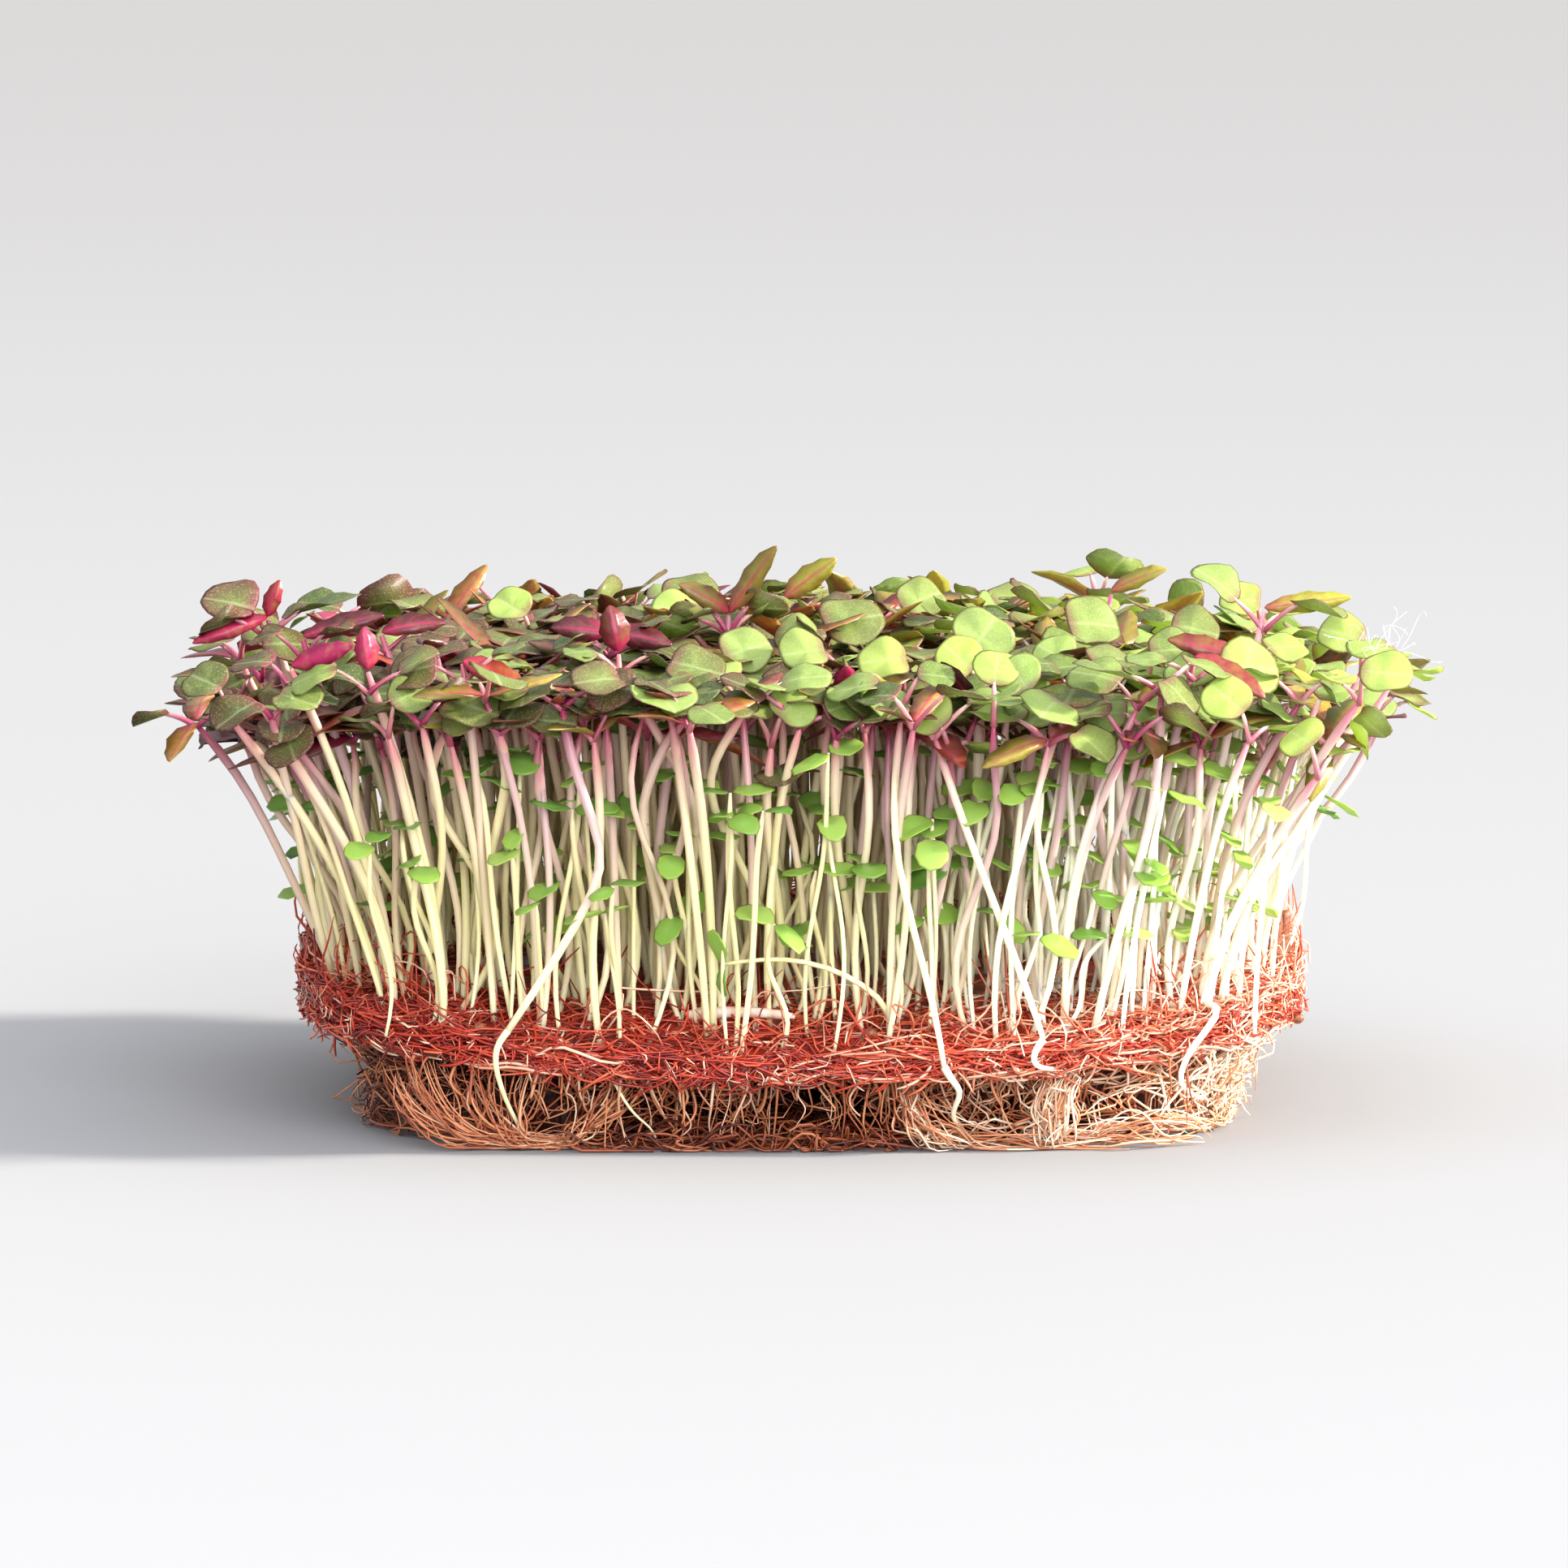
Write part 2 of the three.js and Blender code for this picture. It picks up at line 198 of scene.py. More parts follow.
def toned_fibre(name, blotch, uneven, tones, finish):
    """A material for fibres: the tone that each fibre has, made uneven by soft blotches of a size in
    millimetres, picks its colour from a row of tones."""
    made, tree, shader = new_material(name)
    place = add_node(tree, "TexCoord", {}, "Object")
    tone_value = add_node(tree, "Attribute", {}, "Fac", attribute_name="tone")
    cloud = add_node(tree, "TexNoise", {"Vector": place, "Scale": 1 / (blotch * MM)})
    mixed = add_node(tree, "Math", {0: cloud, 1: uneven, 2: tone_value}, operation="MULTIPLY_ADD")
    colour = add_node(tree, "ValToRGB", {"Fac": mixed}, stops=tones)
    set_inputs(shader, {"Base Color": colour, **finish})
    return made


# Damp coir: dull red-brown fibre, painted lighter at the sunlit right end as painted sunlight, with a few
# pale fibres that are partly pale flecks and partly painted glints, and small wet glints along each fibre.
COIR_TONES = [(0.0, "#3a110b"), (0.25, "#8a1c12"), (0.48, "#b8341e"), (0.72, "#cc6440"), (1.0, "#f0cfb2")]
COIR_FINISH = {"Roughness": 0.36, "Specular IOR Level": 0.6}
damp_coir = toned_fibre("damp_coir_fibre", blotch=2.5, uneven=0.3, tones=COIR_TONES, finish=COIR_FINISH)


def plan(spot):
    """The places across and back of spots."""
    return spot[..., 0], spot[..., 1]


def raised(spot, height):
    """Spots on the plan lifted to heights."""
    return np.concatenate([spot, height[..., None]], axis=-1)


def pad_rings(table, upper, lower, rings, sides, roughness):
    """A closed pad: sections grow from the middle of its underside to the rim and shrink back to the
    middle of its upper face, each the same outline at a share of its size, at a height over the plan."""
    along = np.linspace(0, table[0][-1], sides, endpoint=False)
    share = np.sin(np.linspace(0.01, 0.5 * np.pi, rings))[:, None, None]
    low = at_rim(table, along, 0 * along) * share
    height = np.concatenate([lower(*plan(low)), upper(*plan(low))[::-1]])
    solid = raised(np.concatenate([low, low[::-1]]), height)
    solid += chance.normal(0, roughness, solid.shape) * np.concatenate([share, share[::-1]])
    return solid[None]


mat_rim = outline(mat_half, MAT_SQUARENESS)
MAT_ROUND = mat_rim[0][-1]
FELT_COVER = 0.5  # thickness of the skin of fibres on the felt's two faces
FELT_SHARE = 0.985  # size of the felt inside the fibres of its rim
felt = pad_rings(
    mat_rim,
    upper=lambda x, y: mat_top(x, y) - FELT_COVER,
    lower=lambda x, y: mat_underside(x, y) + FELT_COVER,
    rings=22,
    sides=360,
    roughness=0.22,
)
felt[..., :2] *= FELT_SHARE
coir_felt = loft("coir_felt", felt, damp_coir, "coir", tone=draw(0.0, 0.3, felt.shape[:3]))
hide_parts("coir_mat")


def wander(count, points, size, most_waves):
    """Smooth random wandering along a path: two sine waves of random length, phase and size, per axis."""
    share = np.linspace(0, 1, points)[None, :, None]
    waves = draw(0.4, most_waves, (2, count, 1, 3))
    phase = draw(0, 2 * np.pi, (2, count, 1, 3))
    amount = chance.normal(0, size, (2, count, 1, 3))
    return (amount * np.sin(2 * np.pi * waves * share + phase)).sum(axis=0)


def fibre_tone(paths, usual):
    """How light each fibre is: random round a usual tone, painted lighter to the right and darker at the
    left as painted sunlight from the right, and a few pale ones that are partly pale flecks and partly
    painted glints.
    """
    count = len(paths)
    # painted sunlight: lighter towards the right end and darker at the left
    painted_sun_right = 0.3 * np.clip(paths[:, 0, 0] / mat_half[0] + 0.02, -0.3, 1)
    # a few pale fibres: partly pale flecks, partly painted glints
    pale_flecks_and_glints = np.where(draw(0, 1, count) < 0.1, 0.4, 0)
    return np.clip(chance.normal(usual, 0.15, count) + painted_sun_right + pale_flecks_and_glints, 0, 0.9)[:, None, None]


# Fibres of the rim lie along it, layer on layer, most of them short and crossing.
EDGE_FIBRES = 2700
FIBRE_POINTS = 7
start = draw(0, MAT_ROUND, EDGE_FIBRES)
length = 2.5 + 11 * draw(0, 1, EDGE_FIBRES) ** 2
share = np.linspace(-0.5, 0.5, FIBRE_POINTS)
along = start[:, None] + length[:, None] * share
spot = at_rim(mat_rim, along, draw(-0.5, 1.5, EDGE_FIBRES)[:, None] + 0 * along)
slant = chance.normal(0, 2.0, EDGE_FIBRES)[:, None] * share
level = draw(0.0, 1.04, EDGE_FIBRES)
lowest = level < 0.16
level = level[:, None] * mat_thickness(*plan(spot))
height = mat_underside(*plan(spot)) + level + slant
paths = raised(spot, height) + wander(EDGE_FIBRES, FIBRE_POINTS, 0.34, 1.4)
radii = draw(0.1, 0.2, EDGE_FIBRES)[:, None] * np.array([0.5, 0.9, 1, 1, 1, 0.9, 0.5])
pale = np.where(lowest & (draw(0, 1, EDGE_FIBRES) < 0.6), 0.35, 0)[:, None, None]
edge_tone = np.clip(fibre_tone(paths, 0.24) + pale, 0, 0.95)
loft("coir_edge_fibres", tube_rings(paths, radii, 4), damp_coir, "coir", tone=edge_tone)

# Broken bits of fibre, many of them dry and pale, cling to the felt's rim and litter its upper edge.
BITS = 1700
BIT_POINTS = 4
start = draw(0, MAT_ROUND, BITS)
reach = draw(0.8, 3.2, BITS)[:, None] * np.linspace(-0.5, 0.5, BIT_POINTS)
turn = draw(0, 2 * np.pi, BITS)[:, None]
on_top = (draw(0, 1, BITS) < 0.45)[:, None]
inset = np.where(on_top, draw(0, 9, (BITS, 1)) + reach * np.sin(turn), draw(-0.9, -0.2, (BITS, 1)))
spot = at_rim(mat_rim, start[:, None] + reach * np.cos(turn), inset)
level = np.where(on_top, 1.06, draw(0.0, 1.0, (BITS, 1))) * mat_thickness(*plan(spot))
slant = np.where(on_top, 0.2, 1.0) * reach * np.sin(turn)
height = mat_underside(*plan(spot)) + level + slant
paths = raised(spot, height) + wander(BITS, BIT_POINTS, 0.2, 0.9)
radii = draw(0.06, 0.12, BITS)[:, None] * np.array([0.6, 1.0, 1.0, 0.5])
bit_tone = np.where(draw(0, 1, BITS) < 0.3, 0.6, 0.22)[:, None, None]
bit_tone = np.clip(bit_tone + draw(0, 0.3, (BITS, 1, 1)), 0, 0.95)
loft("coir_broken_bits", tube_rings(paths, radii, 4), damp_coir, "coir", tone=bit_tone)


def compass(angle):
    """Level directions at angles, anticlockwise from the right."""
    return np.stack([np.cos(angle), np.sin(angle), 0 * angle], axis=-1)


# Fibres of the upper face lie every way, and many of their ends stand up between the stems.
TOP_FIBRES = 2600
start = draw(0, MAT_ROUND, TOP_FIBRES)
foot = at_rim(mat_rim, start, 17 * draw(0, 1, TOP_FIBRES) ** 1.3 - 0.3)
heading = draw(0, 2 * np.pi, TOP_FIBRES)
length = draw(3, 14, TOP_FIBRES)
standing = draw(0, 1, TOP_FIBRES) < 0.16
lift = np.where(standing, draw(2, 9, TOP_FIBRES), draw(0, 0.8, TOP_FIBRES))
share = np.linspace(0, 1, FIBRE_POINTS)
run = length[:, None] * share
spot = foot[:, None, :] + run[..., None] * compass(heading)[:, None, :2]
spot = spot / np.maximum(towards_rim(*plan(spot)) / 1.01, 1)[..., None]
resting = mat_top(*plan(spot)) + draw(-0.15, 0.35, TOP_FIBRES)[:, None]
paths = raised(spot, resting + lift[:, None] * share**2)
paths = paths + wander(TOP_FIBRES, FIBRE_POINTS, 0.32, 1.2)
radii = draw(0.08, 0.18, TOP_FIBRES)[:, None] * np.array([0.7, 1, 1, 1, 0.9, 0.8, 0.4])
top_tone = fibre_tone(paths, 0.31)
loft("coir_top_fibres", tube_rings(paths, radii, 4), damp_coir, "coir", tone=top_tone)

# Long loose fibres arch over the rim and stand up from it in loops.
LOOSE = 280
LOOSE_POINTS = 11
start = draw(0, MAT_ROUND, LOOSE)
share = np.linspace(0, 1, LOOSE_POINTS)
along = start[:, None] + chance.normal(0, 9, LOOSE)[:, None] * share
inset = draw(0, 9, LOOSE)[:, None] + chance.normal(0, 4, LOOSE)[:, None] * share
spot = at_rim(mat_rim, along, np.maximum(inset, -0.8))
arch = draw(0.5, 6.5, LOOSE)[:, None] * np.sin(np.pi * share) ** 0.8
height = mat_top(*plan(spot)) + arch
paths = raised(spot, height) + wander(LOOSE, LOOSE_POINTS, 0.7, 1.6)
radii = np.repeat(draw(0.07, 0.14, LOOSE)[:, None], LOOSE_POINTS, axis=1)
loft("coir_loose_fibres", tube_rings(paths, radii, 4), damp_coir, "coir", tone=fibre_tone(paths, 0.56))

# Root mass
# Thousands of fine roots that grew down through the mat and matted against the punnet's wall and floor.
# They keep its shape: feet where its moat was, and a bare arch in front. Tan to orange-brown, painted dark
# inside as painted shade.
ROOT_HALF = (51.5, 49.0)
ROOT_SQUARENESS = 5.0
ARCH_LEFT, ARCH_RIGHT, ARCH_BACK, ARCH_HEIGHT = -26.0, 10.0, -8.0, 6.4
ARCH_SOFT = 3.0  # its sides slope over this much

# Wet root: soft and slightly see-through, cream where it is young. Its dark end is painted shade: the core,
# the deep roots and the roots on the floor under the arch get it.
ROOT_TONES = [(0.0, "#150705"), (0.2, "#48180d"), (0.42, "#984c2b"), (0.7, "#d18c60"), (1.0, "#f8e6cb")]
ROOT_FINISH = {"Roughness": 0.45, "Subsurface Weight": 0.15, "Subsurface Scale": 0.3 * MM}
wet_root = toned_fibre("wet_matted_root", blotch=4.0, uneven=0.16, tones=ROOT_TONES, finish=ROOT_FINISH)


def step_between(low, high, value):
    """A smooth step from 0 at low to 1 at high."""
    share = np.clip((value - low) / (high - low), 0, 1)
    return share * share * (3 - 2 * share)


def arch_over(x, y):
    """Height of the arch's roof above the floor: flat between its two sides, and nought beyond them and
    behind its back."""
    left = step_between(ARCH_LEFT - ARCH_SOFT, ARCH_LEFT + ARCH_SOFT, x)
    right = 1 - step_between(ARCH_RIGHT - ARCH_SOFT, ARCH_RIGHT + ARCH_SOFT, x)
    return ARCH_HEIGHT * left * right * (1 - step_between(ARCH_BACK - ARCH_SOFT, ARCH_BACK, y))


root_rim = outline(ROOT_HALF, ROOT_SQUARENESS)
CORE_COVER = 0.4  # room left above and below the core
CORE_SHARE = 0.87  # size of the core inside the skin of roots
core = pad_rings(
    root_rim,
    upper=lambda x, y: mat_underside(x, y) - CORE_COVER,
    lower=lambda x, y: CORE_COVER + arch_over(x, y),
    rings=40,
    sides=240,
    roughness=0.3,
)
core[..., :2] *= CORE_SHARE
core[..., 2] = np.maximum(core[..., 2], 0.15)
# The core is painted almost black, as painted shade in the gaps between the roots.
root_core = loft("root_core", core, wet_root, "root", tone=draw(0.0, 0.1, core.shape[:3]))
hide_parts("root_mass")
ROOT_POINTS = 14
root_way = np.linspace(0, 1, ROOT_POINTS)


def root_radii(thin, thick, count, end):
    """Radii along roots: random between thin and thick, and drawn in to a share of that at both ends."""
    return draw(thin, thick, count)[:, None] * np.minimum(1, end + 3 * np.minimum(root_way, 1 - root_way))


def add_roots(name, along, height, inset, waves, girth, tones):
    """A piece of roots on the skin of the mass. They run between two distances along it from the middle
    of the front, two heights and two insets, wander by the size and number of waves, flare to the mat
    above and keep out of the arch. Radii and tones are random between two limits."""
    count = len(along[0])
    along, height, inset = (
        ends[0][:, None] * (1 - root_way) + ends[1][:, None] * root_way for ends in (along, height, inset)
    )
    drift = wander(count, ROOT_POINTS, *waves)
    height = height + 0.7 * drift[..., 2]
    flare = 4.5 * step_between(6.5, 13.0, height)
    spot = at_rim(root_rim, along + drift[..., 0], inset + 0.6 * drift[..., 1] - flare)
    ragged = chance.normal(0, 2.5, count)[:, None]
    roof = draw(0.5, 1.1, count)[:, None] * arch_over(spot[..., 0] + ragged, spot[..., 1])
    ceiling = mat_underside(*plan(spot)) + 0.5
    clear = (height < roof).mean(axis=1) < 0.3  # roots that would cross the arch are left out
    height = np.clip(np.maximum(height, roof), 0.25, ceiling)
    paths = raised(spot, height)[clear]
    count = len(paths)
    radii = root_radii(*girth, count, 0.35)
    # Painted sunlight: roots are painted lighter towards the right end and darker at the left.
    painted_sun_right = 0.3 * np.clip((paths[:, :1, 0] + 6) / ROOT_HALF[0], -0.4, 1)[..., None]
    tone = np.clip(draw(*tones, (count, 1, 1)) + painted_sun_right, 0, 0.95)
    return loft(name, tube_rings(paths, radii, 4), wet_root, "root", tone=tone)


ROUND = root_rim[0][-1]
DEEP = 560
begin = draw(0, ROUND, DEEP)
# Deep roots get darker tones, as painted shade deep in the mass.
add_roots(
    "roots_deep",
    (begin, begin + chance.normal(0, 9, DEEP)),
    (draw(7, 14, DEEP), draw(0, 7, DEEP)),
    (draw(2.5, 7.0, DEEP), draw(2.0, 7.0, DEEP)),
    waves=(1.5, 2.6),
    girth=(0.1, 0.2),
    tones=(0.08, 0.36),
)
SKIN = 480
begin = draw(0, ROUND, SKIN)
add_roots(
    "roots_skin",
    (begin, begin + chance.normal(0, 6, SKIN)),
    (draw(9, 15, SKIN), draw(0.2, 5, SKIN)),
    (draw(-0.4, 2.4, SKIN), draw(0, 2.6, SKIN)),
    waves=(1.6, 2.8),
    girth=(0.08, 0.17),
    tones=(0.18, 0.7),
)
FOOT = 300
begin = draw(0, ROUND, FOOT)
add_roots(
    "roots_round_the_foot",
    (begin, begin + draw(6, 26, FOOT)),
    (3.5 * draw(0, 1, FOOT) ** 2 + 0.2, 2.5 * draw(0, 1, FOOT) ** 2 + 0.2),
    (draw(-0.2, 2.4, FOOT), draw(0, 2.4, FOOT)),
    waves=(0.9, 2.4),
    girth=(0.08, 0.18),
    tones=(0.26, 0.68),
)
# Pale young roots round the right end.
PALE = 120
begin = draw(24, 130, PALE)
add_roots(
    "roots_pale",
    (begin, begin + chance.normal(0, 8, PALE)),
    (draw(6, 14, PALE), draw(0.3, 8, PALE)),
    (draw(-1.5, 1.5, PALE), draw(-0.6, 2.0, PALE)),
    waves=(1.8, 2.2),
    girth=(0.09, 0.17),
    tones=(0.36, 0.7),
)


def bend(points, count):
    """Smooth curves through given points: points[n, k] spread evenly, joined and softened twice."""
    knots = np.linspace(0, 1, points.shape[1])
    at = np.linspace(0, 1, count)
    place = np.minimum(np.searchsorted(knots, at, side="right") - 1, len(knots) - 2)
    part = ((at - knots[place]) / (knots[place + 1] - knots[place]))[None, :, None]
    line = points[:, place] * (1 - part) + points[:, place + 1] * part
    for _ in range(2):
        line[:, 1:-1] = 0.25 * line[:, :-2] + 0.5 * line[:, 1:-1] + 0.25 * line[:, 2:]
    return line


def curved(start, middle, end, points):
    """Quadratic curves that leave their start towards a middle point and bend over to their end."""
    way = np.linspace(0, 1, points)[None, :, None]
    return (1 - way) ** 2 * start[:, None] + 2 * way * (1 - way) * middle[:, None] + way**2 * end[:, None]


# Bundles: strands that run together in a curve, from one place, by way of a bend, to another.
BUNDLES = [
    # strands, start, bend and end, and how far the strands spread at the start and at the end
    (34, (-44, -50, 9.0), (-39, -51, 2.2), (-27, -50, 0.8), 2.6, 0.5),
    (24, (-34, -51, 9.5), (-34, -51, 2.5), (-27, -50, 0.9), 2.4, 0.5),
    (16, (-20, -50, 8.0), (-23.5, -50.5, 3.5), (-27, -50, 1.0), 1.2, 0.5),
    (46, (12.6, -51, 7.0), (14.0, -52, 3.6), (17.5, -51.5, 0.9), 0.6, 1.9),
    (14, (16, -50.5, 1.4), (25, -50.5, 0.9), (36, -50, 0.8), 1.4, 1.2),
    (46, (30, -52.5, 9.0), (29, -51.5, 4.5), (29.5, -50.5, 0.9), 1.2, 1.2),
    (14, (32, -50, 1.4), (39, -50, 3.0), (45, -47.5, 1.4), 1.6, 2.0),
]
strands = []
for count, first, middle, last, wide, narrow in BUNDLES:
    spread = np.array([wide, 0.5 * (wide + narrow), narrow])[:, None] * np.array([1.0, 0.35, 0.5])
    strands.append(np.array([first, middle, last]) + chance.normal(0, 1, (count, 1, 3)) * spread)
begin, middle, end = np.concatenate(strands).transpose(1, 0, 2)
bundle = curved(begin, 2 * middle - 0.5 * (begin + end), end, ROOT_POINTS)
bundle = bundle + wander(len(bundle), ROOT_POINTS, 0.6, 1.8)
bundle[..., 2] = np.maximum(bundle[..., 2], 0.2 + 0.3 * draw(0, 1, (len(bundle), 1)))
radii = root_radii(0.08, 0.15, len(bundle), 0.3)
# Painted sunlight: bundles are painted lighter towards the right end.
painted_sun_right = 0.25 * np.clip(bundle[:, :1, 0] / 40, 0, 1)[..., None]
tone = draw(0.3, 0.7, len(bundle))[:, None, None] + 0.14 * root_way[None, :, None] ** 3
tone = np.clip(tone + painted_sun_right, 0, 0.95)
loft("root_bundles", tube_rings(bundle, radii, 4), wet_root, "root", tone=tone)

# Roots that come out from under the mat's front edge, hang in the arch and turn back into the tangle.
IN_ARCH, ELSEWHERE = 110, 100
HANGING = IN_ARCH + ELSEWHERE
x = np.concatenate([draw(ARCH_LEFT - 4, ARCH_RIGHT + 4, IN_ARCH), draw(-48, 48, ELSEWHERE)])
y = -52.5 + 14 * draw(0, 1, HANGING) ** 2
top = mat_underside(x, y) + 0.1
fall = np.minimum(draw(1.5, 10.0, HANGING), top - 0.3)
UP = np.array([0.0, 0.0, 1.0])
BACK = np.array([0.0, 1.0, 0.0])
hang = np.stack([x, y, top], axis=-1)[:, None, :] - UP * (fall[:, None] * root_way)[..., None]
hang = hang + BACK * (draw(-0.5, 3.5, HANGING)[:, None] * root_way**1.5)[..., None]
hang = hang + wander(HANGING, ROOT_POINTS, 1.0, 1.3) * root_way[:, None] ** 0.7
hang[..., 2] = np.maximum(hang[..., 2], 0.3)
radii = draw(0.1, 0.24, HANGING)[:, None] * (1 - 0.6 * root_way)
tone = draw(0.3, 0.8, HANGING)[:, None, None]
loft("roots_in_the_arch", tube_rings(hang, radii, 4), wet_root, "root", tone=tone)

# Roots that lie on the floor under the arch, painted dark as painted shade under it.
LYING = 340
x = draw(ARCH_LEFT - 2, ARCH_RIGHT + 2, LYING)
y = -52 + 38 * draw(0, 1, LYING) ** 1.4
heading = draw(0, 2 * np.pi, LYING)
reach = draw(5, 16, LYING)[:, None] * (root_way - 0.5)
spot = np.stack([x, y], axis=-1)[:, None, :] + reach[..., None] * compass(heading)[:, None, :2]
lying = raised(spot, draw(0.2, 1.6, LYING)[:, None] + 0 * reach)
lying = lying + wander(LYING, ROOT_POINTS, 0.9, 1.8)
lying[..., 1] = np.maximum(lying[..., 1], -53)
lying[..., 2] = np.maximum(lying[..., 2], 0.25)
radii = root_radii(0.1, 0.2, LYING, 0.3)
tone = draw(0.1, 0.42, LYING)[:, None, None]
loft("roots_on_the_floor", tube_rings(lying, radii, 4), wet_root, "root", tone=tone)

# Seedling stems
# Each seedling has one juicy stem, cream at the foot, often flushed mauve, and magenta at its fork.
# The crowd grows up from the mat. Those at the edge bow outwards, and a few at the front cross each other.
STEM_POINTS = 12
rise = np.linspace(0, 1, STEM_POINTS)
STEM_SLICES = 7  # parts of a CAD stem that are averaged
LEAF_LEVEL = 50.2  # height where most stems fork


def centre_line(node):
    """The middle line of a CAD stem: its corner points sorted by height and averaged slice by slice."""
    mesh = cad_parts[node].data
    corner = np.empty(len(mesh.vertices) * 3)
    mesh.vertices.foreach_get("co", corner)
    corner = np.unique(np.round(corner.reshape(-1, 3) / MM, 2), axis=0)
    corner = corner[np.argsort(corner[:, 2])]
    middle = np.array([part.mean(axis=0) for part in np.array_split(corner, STEM_SLICES)])
    slices = np.linspace(0, 1, STEM_SLICES)
    return np.stack([np.interp(rise, slices, middle[:, axis]) for axis in range(3)], axis=-1)


EDGE_NODES = [f"stem_{number:02d}" for number in range(1, 19)]
edge_stems = np.array([centre_line(node) for node in EDGE_NODES])
edge_stems[:, 0, 2] -= 1.2  # into the felt


def stems_between(feet, tips, bow, sway):
    """Stem paths from feet on the mat to tips: the way across grows by a power of the height, so stems
    start upright and bow outwards, and one sine wave sways them."""
    count = len(feet)
    base = mat_top(*plan(feet)) - 1.8
    flat = feet[:, None, :] + (tips[:, None, :2] - feet[:, None, :]) * (rise**bow)[None, :, None]
    wave = np.sin(np.pi * rise * draw(0.9, 2.1, (count, 1)))[..., None]
    flat = flat + chance.normal(0, sway, (count, 1, 2)) * wave * (1 - rise**4)[None, :, None]
    height = base[:, None] + (tips[:, 2] - base)[:, None] * rise
    return raised(flat, height)


# The inner crowd stands on a jittered grid. One in six is shorter than its neighbours.
CROWD_PITCH = 4.4
across = np.arange(-60, 60, CROWD_PITCH)
grid = np.stack(np.meshgrid(across, across), axis=-1).reshape(-1, 2)
grid = grid + draw(-0.48, 0.48, grid.shape) * CROWD_PITCH
near_edge = towards_rim(*plan(grid)) * 1.04
bare = (grid[:, 0] > 53.5) & (grid[:, 1] < 0)  # only husk bark stands at the right end
planted = (near_edge < 1) & ~bare
feet = grid[planted]
near_edge = near_edge[planted]
outward = unit(feet / mat_half)
lean = near_edge**3 * draw(3, 13, len(feet)) * (0.55 + 0.8 * np.abs(outward[:, 0]))
short = np.where(draw(0, 1, len(feet)) < 0.17, draw(3, 9, len(feet)) * (1 - near_edge**4), 0)
droop = (0.15 + 0.35 * np.abs(outward[:, 0]) ** 4) * lean  # the ends hang lowest
height = LEAF_LEVEL + 3.2 * (1 - near_edge**2) + chance.normal(0, 1.3, len(feet)) - droop - short
tips = feet + outward * lean[:, None] + chance.normal(0, 2.4, feet.shape)
tips = raised(tips, height)

# Heads that show at the front, read off the picture: place across, height as seen at the front, width and
# seen height of a seed leaf in millimetres, its green from dark to yellow, and how bronzed it is.
SHOWN_LEAVES = [
    (-12.5, 56.3, 7.5, 4.4, 0.3, 0.5),
    (-6.4, 58.4, 7.0, 4.6, 0.6, 0.15),
    (-1.0, 51.9, 6.2, 5.2, 0.75, 0.0),
    (0.0, 57.9, 8.0, 3.3, 0.7, 0.1),
    (-0.4, 60.6, 6.5, 3.6, 0.65, 0.2),
    (5.4, 62.3, 8.6, 5.2, 0.4, 0.35),
    (9.3, 57.2, 8.2, 3.2, 0.95, 0.1),
    (18.2, 57.2, 5.8, 5.2, 0.95, 0.0),
    (14.6, 50.7, 6.0, 4.6, 0.9, 0.1),
    (20.9, 60.4, 8.0, 6.4, 0.6, 0.1),
    (13.8, 65.0, 7.0, 5.0, 0.7, 0.3),
    (-13.0, 66.0, 8.0, 3.6, 0.35, 0.35),
    (-14.0, 63.7, 7.2, 3.2, 0.85, 0.0),
    (-38.0, 51.7, 8.0, 4.6, 0.3, 0.4),
    (-33.0, 64.0, 5.6, 3.6, 0.75, 0.0),
    (33.3, 62.0, 8.4, 5.2, 0.5, 0.2),
    (45.2, 61.0, 8.4, 4.2, 0.5, 0.4),
    (28.6, 58.0, 6.2, 4.6, 0.6, 0.0),
    (24.7, 55.3, 6.0, 5.4, 0.55, 0.0),
    (42.2, 58.4, 6.6, 3.4, 0.4, 0.2),
    (49.0, 52.4, 6.2, 4.6, 0.9, 0.0),
    (57.0, 48.3, 6.0, 4.2, 0.95, 0.1),
    (-62.0, 61.0, 6.4, 3.2, 0.35, 0.5),
    (-59.5, 59.3, 6.6, 3.2, 0.25, 0.8),
    (-68.0, 54.5, 6.0, 3.4, 0.1, 0.3),
    (-58.0, 52.5, 6.6, 2.8, 0.3, 0.2),
    (-45.0, 53.0, 5.8, 3.2, 0.45, 0.2),
    (66.5, 55.5, 6.6, 3.4, 0.85, 0.0),
    (62.0, 60.5, 6.4, 3.4, 0.85, 0.1),
    (50.5, 65.0, 6.2, 3.4, 0.9, 0.0),
    (65.4, 58.6, 6.4, 2.4, 0.85, 0.0),
]
